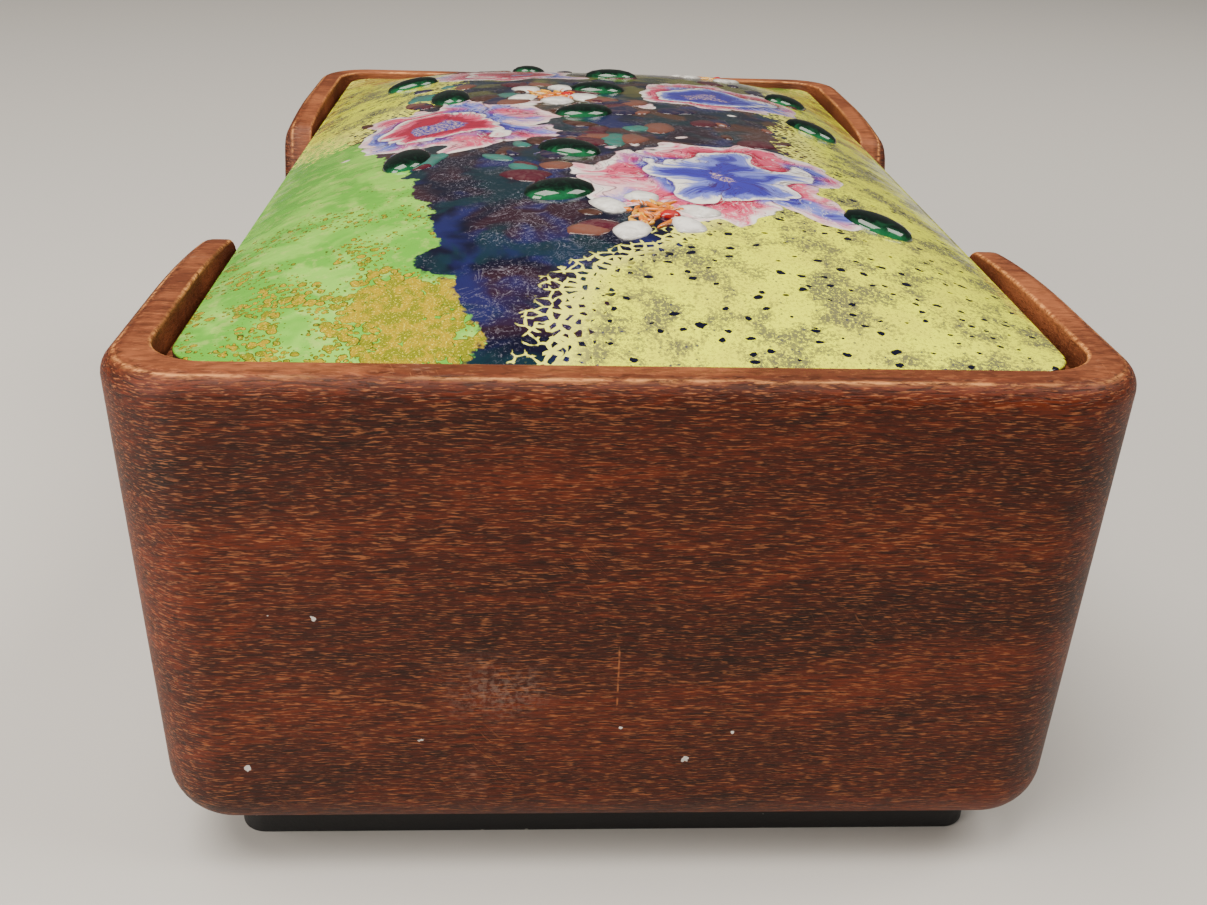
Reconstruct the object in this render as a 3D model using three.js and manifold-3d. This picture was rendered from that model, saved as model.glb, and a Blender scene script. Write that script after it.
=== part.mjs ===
// Enamel jewelry box. The body is one block of wood, hollowed out, with a finger notch cut
// into each long wall. A lift-off lid board lies on a ledge inside the rim and carries a
// domed enamelled copper plate, and the body stands on a black recessed plinth.
// Millimetres, +Z up. The origin is at the centre of the plinth's underside, X runs across
// the box, Y along it, and the front end faces -Y.

import * as THREE from 'three';
import { mergeVertices } from 'three/addons/utils/BufferGeometryUtils.js';
import Module from 'manifold-3d';

// Body, outside
const bodyWidth = 120;
const bodyLength = 190;
const bodyHeight = 65;
const wallDraft = THREE.MathUtils.degToRad(1.8);
const cornerRadius = 11.2;
const bottomRound = 7.5;

// Rim
const rimWall = 5.5;
const rimOuterRound = 3;
const rimInnerRound = 0.5;
const openingCornerRadius = 7.5;

// Ledge and cavity
const ledgeDepth = 16.5;
const ledgeWidth = 3;
const floorThickness = 6;
const floorRound = 2;

// Finger notches in the long walls, as the fall of the rim over the distance from mid-length
const notchReach = 65;
const notchDepth = 15;
const shoulderRadius = 218;
const shoulderAngle = THREE.MathUtils.degToRad(6.7);
const brinkRadius = 4;
const slopeAngle = THREE.MathUtils.degToRad(62);
const footRadius = 9;

// Lid board
const lidClearance = 0.5;
const boardTopBelowRim = 3;
const boardEdgeRound = 0.6;

// Enamelled plate
const plateMargin = 1.5;
const plateThickness = 1.8;
const plateCornerRadius = 6;
const plateSeat = 1.5;
const domeRise = 10.2;
const domePower = 3.2;

// Glass drops fused on the plate like leaves round its painted blooms
const dropLength = 10.5;
const dropWidth = 7.2;
const dropHeight = 1.5;
const dropSink = 0.7;
const dropGap = 0.5;

// Each bloom's centre as a share of the plate's half width and half length, its radius as a
// share of the half width, and the compass angles in degrees at which its leaf drops lie
const blooms = [
  { across: 0.3, along: -0.41, radius: 0.36, leafAngles: [150, 200, 330] },
  { across: -0.46, along: -0.05, radius: 0.33, leafAngles: [20, 95, 255] },
  { across: 0.42, along: 0.27, radius: 0.3, leafAngles: [40, 175, 320] },
  { across: -0.3, along: 0.57, radius: 0.28, leafAngles: [80, 200, 350] },
];

// Plinth
const plinthHeight = 5.8;
const plinthSetback = 0.3;
const plinthCornerRadius = 3.5;

// Least radius that a corner keeps when it is drawn in
const leastRadius = 1;

// Fineness of the facets
const cornerSteps = 5;
const endSteps = 9;
const roundSteps = 4;
const rimRoundSteps = 4;
const notchArcSteps = 3;
const domeSteps = 8;
const dropSides = 14;
const dropRings = 2;

const undersideZ = plinthHeight;
const rimZ = undersideZ + bodyHeight;
const ledgeZ = rimZ - ledgeDepth;
const floorZ = undersideZ + floorThickness;
const boardTopZ = rimZ - boardTopBelowRim;

// The notch's profile from its outer end to its flat bottom, as distance from mid-length
// and depth below the rim
function notchProfile() {
  const points = [];
  let distance = notchReach;
  let depth = 0;
  const addArc = (radius, from, to) => {
    for (let step = 0; step <= notchArcSteps; step += 1) {
      const angle = THREE.MathUtils.lerp(from, to, step / notchArcSteps);
      const along = radius * Math.abs(Math.sin(angle) - Math.sin(from));
      const down = radius * Math.abs(Math.cos(angle) - Math.cos(from));
      points.push({ distance: distance - along, depth: depth + down });
    }
    ({ distance, depth } = points[points.length - 1]);
  };
  addArc(shoulderRadius, 0, shoulderAngle);
  points.pop();
  addArc(brinkRadius, shoulderAngle, slopeAngle);
  const footFall = footRadius * (1 - Math.cos(slopeAngle));
  const straightFall = notchDepth - depth - footFall;
  depth += straightFall;
  distance -= straightFall / Math.tan(slopeAngle);
  addArc(footRadius, slopeAngle, 0);
  return points;
}

const notchPoints = notchProfile();

// Depth of the rim below its full height at a distance from mid-length
function notchFall(y) {
  const distance = Math.abs(y);
  if (distance >= notchReach) return 0;
  for (let i = 1; i < notchPoints.length; i += 1) {
    const outer = notchPoints[i - 1];
    const inner = notchPoints[i];
    if (distance >= inner.distance) {
      const share = (outer.distance - distance) / (outer.distance - inner.distance);
      return THREE.MathUtils.lerp(outer.depth, inner.depth, share);
    }
  }
  return notchDepth;
}

// A rounded rectangle as stations, counter-clockwise from above. Every outline has as many
// stations, and those on the long sides share the notch's distances, so outlines can be
// joined one to the next
function outline(halfX, halfY, radius) {
  const distances = notchPoints.map((point) => point.distance);
  const flatHalf = distances[distances.length - 1];
  const beyond = (notchReach + halfY - radius) / 2;
  const farToNear = [beyond, ...distances, flatHalf / 2];
  const sideYs = [...farToNear.map((distance) => -distance), 0, ...farToNear.toReversed()];
  const stations = [];
  const addCorner = (signX, signY, startAngle) => {
    for (let step = 0; step <= cornerSteps; step += 1) {
      const angle = startAngle + (Math.PI / 2) * (step / cornerSteps);
      const normal = new THREE.Vector2(Math.cos(angle), Math.sin(angle));
      const x = signX * (halfX - radius) + radius * normal.x;
      const y = signY * (halfY - radius) + radius * normal.y;
      stations.push({ x, y, normal });
    }
  };
  const addSide = (sign) => sideYs.forEach((y) => {
    stations.push({ x: sign * halfX, y: sign * y, normal: new THREE.Vector2(sign, 0) });
  });
  const addEnd = (sign) => {
    for (let step = 1; step < endSteps; step += 1) {
      const x = sign * (halfX - radius) * (1 - (2 * step) / endSteps);
      stations.push({ x, y: sign * halfY, normal: new THREE.Vector2(0, sign) });
    }
  };
  addSide(1);
  addCorner(1, 1, 0);
  addEnd(1);
  addCorner(-1, 1, Math.PI / 2);
  addSide(-1);
  addCorner(-1, -1, Math.PI);
  addEnd(-1);
  addCorner(1, -1, Math.PI * 1.5);
  return stations;
}

// Rings of points are skinned one to the next, and the first and last are closed by a fan
function skin(rings) {
  const count = rings[0].length;
  const points = rings.flat();
  const triangles = [];
  for (let ring = 0; ring + 1 < rings.length; ring += 1) {
    for (let i = 0; i < count; i += 1) {
      const next = (i + 1) % count;
      const a = ring * count + i;
      const b = ring * count + next;
      const c = a + count;
      const d = b + count;
      triangles.push([a, b, d], [a, d, c]);
    }
  }
  const addFan = (ring, flip) => {
    const middle = new THREE.Vector3();
    ring.forEach((point) => middle.add(point));
    middle.divideScalar(count);
    points.push(middle);
    const start = flip ? 0 : (rings.length - 1) * count;
    for (let i = 0; i < count; i += 1) {
      const next = (i + 1) % count;
      const pair = flip ? [start + next, start + i] : [start + i, start + next];
      triangles.push([...pair, points.length - 1]);
    }
  };
  addFan(rings[0], true);
  addFan(rings[rings.length - 1], false);
  const geometry = new THREE.BufferGeometry();
  const values = points.flatMap((point) => [point.x, point.y, point.z]);
  geometry.setAttribute('position', new THREE.Float32BufferAttribute(values, 3));
  geometry.setIndex(triangles.flat());
  return geometry;
}

// A level ring at one height, from an outline drawn in by an inset
function levelRing(halfX, halfY, radius, inset, z) {
  const stations = outline(halfX - inset, halfY - inset, Math.max(radius - inset, leastRadius));
  return stations.map((station) => new THREE.Vector3(station.x, station.y, z));
}

// Body: underside, bottom round, drafted outer wall, rim with its notches, inner wall,
// ledge, cavity and floor
function bodyGeometry() {
  const outer = outline(bodyWidth / 2, bodyLength / 2, cornerRadius);
  const drawnIn = (station, z, extra) => {
    const below = rimZ - z;
    const inset = below * Math.tan(wallDraft) + extra;
    const x = station.x - station.normal.x * inset;
    const y = station.y - station.normal.y * inset;
    return new THREE.Vector3(x, y, z);
  };
  const rings = [];
  const round = Math.min(bottomRound, cornerRadius - bodyHeight * Math.tan(wallDraft) - leastRadius);
  for (let step = 0; step <= roundSteps; step += 1) {
    const angle = (Math.PI / 2) * (1 - step / roundSteps);
    const extra = round * (1 - Math.cos(angle));
    const z = undersideZ + round * (1 - Math.sin(angle));
    rings.push(outer.map((station) => drawnIn(station, z, extra)));
  }
  for (let step = 0; step <= rimRoundSteps; step += 1) {
    const angle = (Math.PI / 2) * (step / rimRoundSteps);
    const extra = rimOuterRound * (1 - Math.cos(angle));
    const drop = rimOuterRound * (1 - Math.sin(angle));
    rings.push(outer.map((station) => drawnIn(station, rimZ - notchFall(station.y) - drop, extra)));
  }
  const openingX = bodyWidth / 2 - rimWall;
  const openingY = bodyLength / 2 - rimWall;
  const rimInner = outline(
    openingX + rimInnerRound,
    openingY + rimInnerRound,
    openingCornerRadius + rimInnerRound,
  );
  const opening = outline(openingX, openingY, openingCornerRadius);
  const onRim = (station, drop) => {
    const z = rimZ - notchFall(station.y) - drop;
    return new THREE.Vector3(station.x, station.y, z);
  };
  rings.push(rimInner.map((station) => onRim(station, 0)));
  rings.push(opening.map((station) => onRim(station, rimInnerRound)));
  rings.push(levelRing(openingX, openingY, openingCornerRadius, 0, ledgeZ));
  rings.push(levelRing(openingX, openingY, openingCornerRadius, ledgeWidth, ledgeZ));
  for (let step = 0; step <= roundSteps; step += 1) {
    const angle = (Math.PI / 2) * (step / roundSteps);
    const inset = ledgeWidth + floorRound * (1 - Math.cos(angle));
    const z = floorZ + floorRound * (1 - Math.sin(angle));
    rings.push(levelRing(openingX, openingY, openingCornerRadius, inset, z));
  }
  return skin(rings);
}

// Lid board: fills the opening from the ledge up to just below the rim
function boardGeometry() {
  const halfX = bodyWidth / 2 - rimWall - lidClearance;
  const halfY = bodyLength / 2 - rimWall - lidClearance;
  const radius = openingCornerRadius - lidClearance;
  return skin([
    levelRing(halfX, halfY, radius, 0, ledgeZ),
    levelRing(halfX, halfY, radius, 0, boardTopZ - boardEdgeRound),
    levelRing(halfX, halfY, radius, boardEdgeRound, boardTopZ),
  ]);
}

const plateHalfX = bodyWidth / 2 - rimWall - lidClearance - plateMargin;
const plateHalfY = bodyLength / 2 - rimWall - lidClearance - plateMargin;

// Height of a pillow dome over its edge, for half sizes that its hollow shares less a seat
function domeHeight(x, y, seat) {
  const u = Math.min(Math.abs(x) / (plateHalfX - seat), 1);
  const v = Math.min(Math.abs(y) / (plateHalfY - seat), 1);
  return domeRise * (1 - u ** domePower) * (1 - v ** domePower);
}

// Plate: a shell whose edge lies on the lid board and whose middle stands clear of it
function plateGeometry() {
  const edge = outline(plateHalfX, plateHalfY, plateCornerRadius);
  const seatX = (plateHalfX - plateSeat) / plateHalfX;
  const seatY = (plateHalfY - plateSeat) / plateHalfY;
  const topZ = boardTopZ + plateThickness;
  const rings = [];
  for (let step = 1; step <= domeSteps; step += 1) {
    const share = step / domeSteps;
    rings.push(edge.map(({ x, y }) => new THREE.Vector3(
      x * share * seatX,
      y * share * seatY,
      boardTopZ + domeHeight(x * share * seatX, y * share * seatY, plateSeat),
    )));
  }
  rings[rings.length - 1].forEach((point) => point.setZ(boardTopZ));
  rings.push(edge.map(({ x, y }) => new THREE.Vector3(x, y, boardTopZ)));
  for (let step = domeSteps; step >= 1; step -= 1) {
    const share = step / domeSteps;
    rings.push(edge.map(({ x, y }) => new THREE.Vector3(
      x * share,
      y * share,
      topZ + domeHeight(x * share, y * share, 0),
    )));
  }
  return skin(rings);
}

// A glass drop: a low lens, longer along its own X, let into the plate by its sink
function dropGeometry() {
  const profile = [new THREE.Vector2(0, -dropSink), new THREE.Vector2(1, -dropSink)];
  for (let ring = 0; ring <= dropRings; ring += 1) {
    const angle = (Math.PI / 2) * (ring / dropRings);
    profile.push(new THREE.Vector2(Math.cos(angle), dropHeight * Math.sin(angle)));
  }
  profile[profile.length - 1].setX(0);
  const geometry = new THREE.LatheGeometry(profile, dropSides);
  geometry.rotateX(Math.PI / 2);
  geometry.scale(dropLength / 2, dropWidth / 2, 1);
  return geometry;
}

// Places of the drops: each lies along a ray from its bloom's centre, tilted with the dome
function dropPlaces() {
  return blooms.flatMap((bloom) => bloom.leafAngles.map((degrees) => {
    const angle = THREE.MathUtils.degToRad(degrees);
    const reach = bloom.radius * plateHalfX + dropGap + dropLength / 2;
    const x = bloom.across * plateHalfX + reach * Math.cos(angle);
    const y = bloom.along * plateHalfY + reach * Math.sin(angle);
    const half = dropWidth / 2;
    const slopeX = (domeHeight(x + half, y, 0) - domeHeight(x - half, y, 0)) / dropWidth;
    const slopeY = (domeHeight(x, y + half, 0) - domeHeight(x, y - half, 0)) / dropWidth;
    const normal = new THREE.Vector3(-slopeX, -slopeY, 1).normalize();
    const tilt = new THREE.Quaternion().setFromUnitVectors(new THREE.Vector3(0, 0, 1), normal);
    const turn = new THREE.Quaternion().setFromAxisAngle(new THREE.Vector3(0, 0, 1), angle);
    const place = new THREE.Vector3(x, y, boardTopZ + plateThickness + domeHeight(x, y, 0));
    return new THREE.Matrix4().compose(place, tilt.multiply(turn), new THREE.Vector3(1, 1, 1));
  }));
}

const wasm = await Module();
wasm.setup();

function toSolid(geometry) {
  const bare = geometry.clone();
  bare.deleteAttribute('normal');
  bare.deleteAttribute('uv');
  const merged = mergeVertices(bare);
  return new wasm.Manifold(new wasm.Mesh({
    numProp: 3,
    vertProperties: new Float32Array(merged.attributes.position.array),
    triVerts: new Uint32Array(merged.index.array),
  }));
}

function toGeometry(solid) {
  const mesh = solid.getMesh();
  const geometry = new THREE.BufferGeometry();
  geometry.setAttribute('position', new THREE.Float32BufferAttribute(mesh.vertProperties, 3));
  geometry.setIndex(Array.from(mesh.triVerts));
  return geometry;
}

// The plate with its drops fused on
function enamelGeometry() {
  let solid = toSolid(plateGeometry());
  const drop = dropGeometry();
  dropPlaces().forEach((matrix) => {
    solid = solid.add(toSolid(drop.clone().applyMatrix4(matrix)));
  });
  return toGeometry(solid);
}

// Plinth: a flat slab inside the flat part of the body's underside
function plinthGeometry() {
  const inset = bodyHeight * Math.tan(wallDraft) + bottomRound + plinthSetback;
  const halfX = bodyWidth / 2 - inset;
  const halfY = bodyLength / 2 - inset;
  return skin([
    levelRing(halfX, halfY, plinthCornerRadius, 0, 0),
    levelRing(halfX, halfY, plinthCornerRadius, 0, undersideZ),
  ]);
}

const stainedWood = new THREE.MeshStandardMaterial({ color: '#6b3524', roughness: 0.55, metalness: 0 });
const boardWood = new THREE.MeshStandardMaterial({ color: '#8a5636', roughness: 0.6, metalness: 0 });
const enamel = new THREE.MeshStandardMaterial({ color: '#c9c968', roughness: 0.12, metalness: 0 });
const blackWood = new THREE.MeshStandardMaterial({ color: '#0b0b0c', roughness: 0.8, metalness: 0 });

const group = new THREE.Group();

function addPiece(name, geometry, material) {
  const mesh = new THREE.Mesh(geometry, material);
  mesh.name = name;
  mesh.geometry.computeVertexNormals();
  group.add(mesh);
}

addPiece('box_body', bodyGeometry(), stainedWood);
addPiece('lid_board', boardGeometry(), boardWood);
addPiece('enamel_plate', enamelGeometry(), enamel);
addPiece('base_plinth', plinthGeometry(), blackWood);

export default group;
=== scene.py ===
# %% [markdown]
# # An enamel jewelry box
#
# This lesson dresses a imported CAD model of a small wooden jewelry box. The real box is routed
# out of one block of reddish-brown stained beech, and its lift-off lid carries a domed copper
# plate, enamelled with flowers and set with glass drops.
#
# The CAD model is the fixed frame. It gives every size and place, and the pieces made here
# stand for its solids with a finer form and a full finish.

# %% Load the fixed frame
import math

import bpy
import numpy as np
from mathutils import Matrix, Vector


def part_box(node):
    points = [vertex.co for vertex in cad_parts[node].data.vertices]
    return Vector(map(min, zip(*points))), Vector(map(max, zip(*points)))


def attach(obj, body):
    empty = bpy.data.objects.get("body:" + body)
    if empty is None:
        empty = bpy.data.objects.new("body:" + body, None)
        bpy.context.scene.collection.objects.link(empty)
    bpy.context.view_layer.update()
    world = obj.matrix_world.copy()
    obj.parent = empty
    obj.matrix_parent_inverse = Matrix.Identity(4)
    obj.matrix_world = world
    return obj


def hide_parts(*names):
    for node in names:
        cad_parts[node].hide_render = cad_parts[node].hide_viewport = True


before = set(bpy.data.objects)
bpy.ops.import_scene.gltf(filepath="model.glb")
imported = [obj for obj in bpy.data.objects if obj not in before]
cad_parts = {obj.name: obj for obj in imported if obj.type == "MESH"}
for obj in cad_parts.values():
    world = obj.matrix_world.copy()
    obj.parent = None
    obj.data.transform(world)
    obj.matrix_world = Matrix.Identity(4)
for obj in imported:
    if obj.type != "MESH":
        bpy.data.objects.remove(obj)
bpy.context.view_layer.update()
print("CAD nodes:", sorted(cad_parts))

# %% [markdown]
# ## Sizes
#
# Blender works in metres, so each size is written in millimetres times MM. The heights, and the
# sizes of the lid board, the plate and the plinth, come from the boxes of the CAD nodes; the
# body's width and length are given. The rounds, walls and notches repeat the values that the
# CAD model was made with, because a box alone doesn't give them.

# %% Sizes of the wood and the plate
MM = 0.001

body_low, body_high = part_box("box_body")
board_low, board_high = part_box("lid_board")
plate_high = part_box("enamel_plate")[1]
plinth_low, plinth_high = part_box("base_plinth")

BODY_WIDTH = 120 * MM
BODY_LENGTH = 190 * MM
WALL_DRAFT = math.radians(1.8)
CORNER_RADIUS = 11.2 * MM
BOTTOM_ROUND = 7.5 * MM
RIM_WALL = 5.5 * MM
RIM_OUTER_ROUND = 3 * MM
RIM_INNER_ROUND = 0.5 * MM
OPENING_CORNER_RADIUS = 7.5 * MM
LEDGE_DEPTH = 16.5 * MM
LEDGE_WIDTH = 3 * MM
FLOOR_THICKNESS = 6 * MM
FLOOR_ROUND = 2 * MM

RIM_Z = body_high.z
UNDERSIDE_Z = body_low.z
LEDGE_Z = RIM_Z - LEDGE_DEPTH
FLOOR_Z = UNDERSIDE_Z + FLOOR_THICKNESS
BOARD_TOP_Z = board_high.z

PLATE_HALF_X = plate_high.x
PLATE_HALF_Y = plate_high.y
PLATE_THICKNESS = 1.8 * MM
PLATE_CORNER_RADIUS = 6 * MM
PLATE_SEAT = 1.5 * MM
DOME_RISE = 10.2 * MM
DOME_POWER = 3.2
print(f"rim at {RIM_Z / MM:.1f} mm")
print(f"plate {2 * PLATE_HALF_X / MM:.1f} by {2 * PLATE_HALF_Y / MM:.1f} mm")

# %% [markdown]
# ## The camera
#
# The camera stands just above the front end of the box and looks down its length. Its place and
# lens were worked out from the outline of the rim in the photograph, on an image of 1207 by 905
# pixels, so the rows below are the three turns, the focal length in pixels and the place.

# %% Camera at the photograph's angle
IMAGE_WIDTH = 1207
SENSOR_WIDTH = 36.0
FOCAL_PIXELS = 1330
CAMERA_PITCH = 0.4481
CAMERA_YAW = 0.0619
CAMERA_ROLL = 0.0350
CLIP_START = 10 * MM
CAMERA_PLACE = Vector((-11.36, -227.45, 120.52)) * MM + Vector((0, 0, UNDERSIDE_Z))


def new_object(name, data):
    """An object in the scene that shows the data."""
    made = bpy.data.objects.new(name, data)
    bpy.context.scene.collection.objects.link(made)
    return made


def camera_axes(pitch, yaw, roll):
    """The camera's right, up and backward directions."""
    forward = Vector((
        math.sin(yaw) * math.cos(pitch),
        math.cos(yaw) * math.cos(pitch),
        -math.sin(pitch),
    ))
    level = Vector((math.cos(yaw), -math.sin(yaw), 0))
    upright = level.cross(forward)
    right = math.cos(roll) * level + math.sin(roll) * upright
    up = math.cos(roll) * upright - math.sin(roll) * level
    return right, up, -forward


right, up, backward = camera_axes(CAMERA_PITCH, CAMERA_YAW, CAMERA_ROLL)
camera = new_object("camera", bpy.data.cameras.new("camera"))
camera.data.sensor_width = SENSOR_WIDTH
camera.data.lens = FOCAL_PIXELS * SENSOR_WIDTH / IMAGE_WIDTH
camera.data.clip_start = CLIP_START
turned = Matrix((right, up, backward)).transposed().to_4x4()
camera.matrix_world = Matrix.Translation(CAMERA_PLACE) @ turned
bpy.context.scene.camera = camera
print(f"camera lens {camera.data.lens:.1f} mm")

# %% [markdown]
# ## Outlines and skins
#
# Every wooden piece has the same plan: a rectangle with rounded corners. A router bit follows
# that plan at one depth after another, and the code does the same. It lays rings of points
# round the plan, one for each step of the profile, and joins each ring to the next with quads.

# %% The finger notch's profile
NOTCH_REACH = 65 * MM
NOTCH_DEPTH = 15 * MM
SHOULDER_RADIUS = 218 * MM
SHOULDER_ANGLE = math.radians(6.7)
BRINK_RADIUS = 4 * MM
SLOPE_ANGLE = math.radians(62)
FOOT_RADIUS = 9 * MM
ARC_STEPS = 10


def notch_profile():
    """Distance from mid-length and depth under the rim, from the notch's end to its flat."""
    points = [(NOTCH_REACH, 0.0)]

    def add_arc(radius, start, end):
        distance, depth = points[-1]
        for step in range(1, ARC_STEPS + 1):
            angle = start + (end - start) * step / ARC_STEPS
            along = radius * abs(math.sin(angle) - math.sin(start))
            down = radius * abs(math.cos(angle) - math.cos(start))
            points.append((distance - along, depth + down))

    add_arc(SHOULDER_RADIUS, 0, SHOULDER_ANGLE)
    add_arc(BRINK_RADIUS, SHOULDER_ANGLE, SLOPE_ANGLE)
    distance, depth = points[-1]
    straight = NOTCH_DEPTH - depth - FOOT_RADIUS * (1 - math.cos(SLOPE_ANGLE))
    points.append((distance - straight / math.tan(SLOPE_ANGLE), depth + straight))
    add_arc(FOOT_RADIUS, SLOPE_ANGLE, 0)
    return np.array(points)


NOTCH = notch_profile()
print(f"notch flat is {2 * NOTCH[-1, 0] / MM:.1f} mm long")


def notch_fall(y):
    """How far the rim lies under its full height at each y."""
    return np.interp(np.abs(y), NOTCH[::-1, 0], NOTCH[::-1, 1])


# %% [markdown]
# Every outline has its points at the same stations along the long sides: close together where
# the finger notches bend, and sparse elsewhere. Any ring can then be lowered at the notches, and
# two rings always have the same number of points, so a quad fits between each pair of them.

# %% Outlines as stations, and a skin over rings
CORNER_STEPS = 20
END_STEPS = 40
FLAT_STEPS = 12
BEYOND_STEPS = 8
SHARP_ANGLE = math.radians(40)


def outline(half_x, half_y, radius):
    """Points and outward normals of a rounded rectangle, anticlockwise from above."""
    flat = np.linspace(0, NOTCH[-1, 0], FLAT_STEPS, endpoint=False)
    beyond = np.linspace(NOTCH_REACH, half_y - radius, BEYOND_STEPS)[1:-1]
    rising = np.concatenate([flat, NOTCH[::-1, 0], beyond])
    side = np.concatenate([-rising[:0:-1], rising])
    end = np.linspace(half_x - radius, radius - half_x, END_STEPS + 1)[1:-1]
    points, normals = [], []
    for corner in range(4):
        sign = 1 if corner < 2 else -1
        if corner % 2 == 0:
            points += [(sign * half_x, sign * y) for y in side]
            normals += [(sign, 0.0)] * len(side)
        else:
            points += [(sign * x, sign * half_y) for x in end]
            normals += [(0.0, sign)] * len(end)
        centre_x = (half_x - radius) * (1 if corner in (0, 3) else -1)
        centre_y = (half_y - radius) * (1 if corner < 2 else -1)
        for step in range(CORNER_STEPS + 1):
            angle = (corner + step / CORNER_STEPS) * math.pi / 2
            normal = (math.cos(angle), math.sin(angle))
            points.append((centre_x + radius * normal[0], centre_y + radius * normal[1]))
            normals.append(normal)
    return np.array(points), np.array(normals)


def add_values(mesh, title, values):
    """Keeps one number or one vector at each of the mesh's points."""
    values = np.asarray(values, dtype=np.float32)
    kind, field = ("FLOAT", "value") if values.ndim == 1 else ("FLOAT_VECTOR", "vector")
    attribute = mesh.attributes.new(title, kind, "POINT")
    attribute.data.foreach_set(field, values.ravel())


def ring(points, z):
    """A ring of 3-D points over a plan, at one height or at a height for each point."""
    return np.column_stack([points, np.broadcast_to(z, len(points))])


def closed_faces(count, rings):
    """Quads between rings of count points, and fans to the two points that follow the rings."""
    faces = []
    last = (rings - 1) * count
    for i in range(count):
        j = (i + 1) % count
        for start in range(0, last, count):
            faces.append((start + i, start + j, start + count + j, start + count + i))
        faces.append((j, i, last + count))
        faces.append((last + i, last + j, last + count + 1))
    return faces


def skin(name, rings, ring_values=None):
    """A closed mesh over rings that run from its underside up, round and down its inside."""
    count = len(rings[0])
    caps = [rings[0].mean(axis=0), rings[-1].mean(axis=0)]
    vertices = np.concatenate(rings + [np.array(caps)])
    mesh = bpy.data.meshes.new(name)
    mesh.from_pydata(vertices.tolist(), [], closed_faces(count, len(rings)))
    for title, values in (ring_values or {}).items():
        add_values(mesh, title, list(np.repeat(values, count)) + [values[0], values[-1]])
    mesh.shade_smooth()
    mesh.set_sharp_from_angle(angle=SHARP_ANGLE)
    triangles = sum(len(polygon.vertices) - 2 for polygon in mesh.polygons)
    print(f"{name}: {len(mesh.vertices)} vertices, {triangles} triangles")
    return new_object(name, mesh)


# %% [markdown]
# ## The wooden body
#
# The profile starts at the middle of the underside and ends at the middle of the cavity's
# floor. Each step carries two values. One of them is high along the inner edge of the rim most
# of all, and on its outer edge: a pale line that is partly stain rubbed off by hands and cloths
# and partly a painted highlight on the rounds. The other, called rim, is painted light: high on
# the rim's top and the walls of the opening, a little lower deep down, and fading where the
# outer round turns to the front.

# %% Body rings from the underside to the cavity floor
ROUND_STEPS = 14
RIM_ROUND_STEPS = 14
INNER_ROUND_STEPS = 4
RIM_TOP_STEPS = 4
# The pale line on the outer round is partly wear and partly a painted highlight; these two numbers
# set its strength and narrowness.
OUTER_WEAR_AND_HIGHLIGHT = 0.8
OUTER_WEAR_AND_HIGHLIGHT_NARROWNESS = 40
# This number fades the rim's painted light as the outer round turns down to the front.
RIM_PAINTED_LIGHT_FADE = 3
INNER_WALL_TOP = 1.4 * RIM_INNER_ROUND
# The painted light on the opening's walls, at their top and deep at the ledge.
INNER_WALL_PAINTED_LIGHT = 1.0
LEDGE_PAINTED_LIGHT = 0.8


def quarter_turn(steps):
    """Angles from 0 to a right angle."""
    return [math.pi / 2 * step / steps for step in range(steps + 1)]


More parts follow.
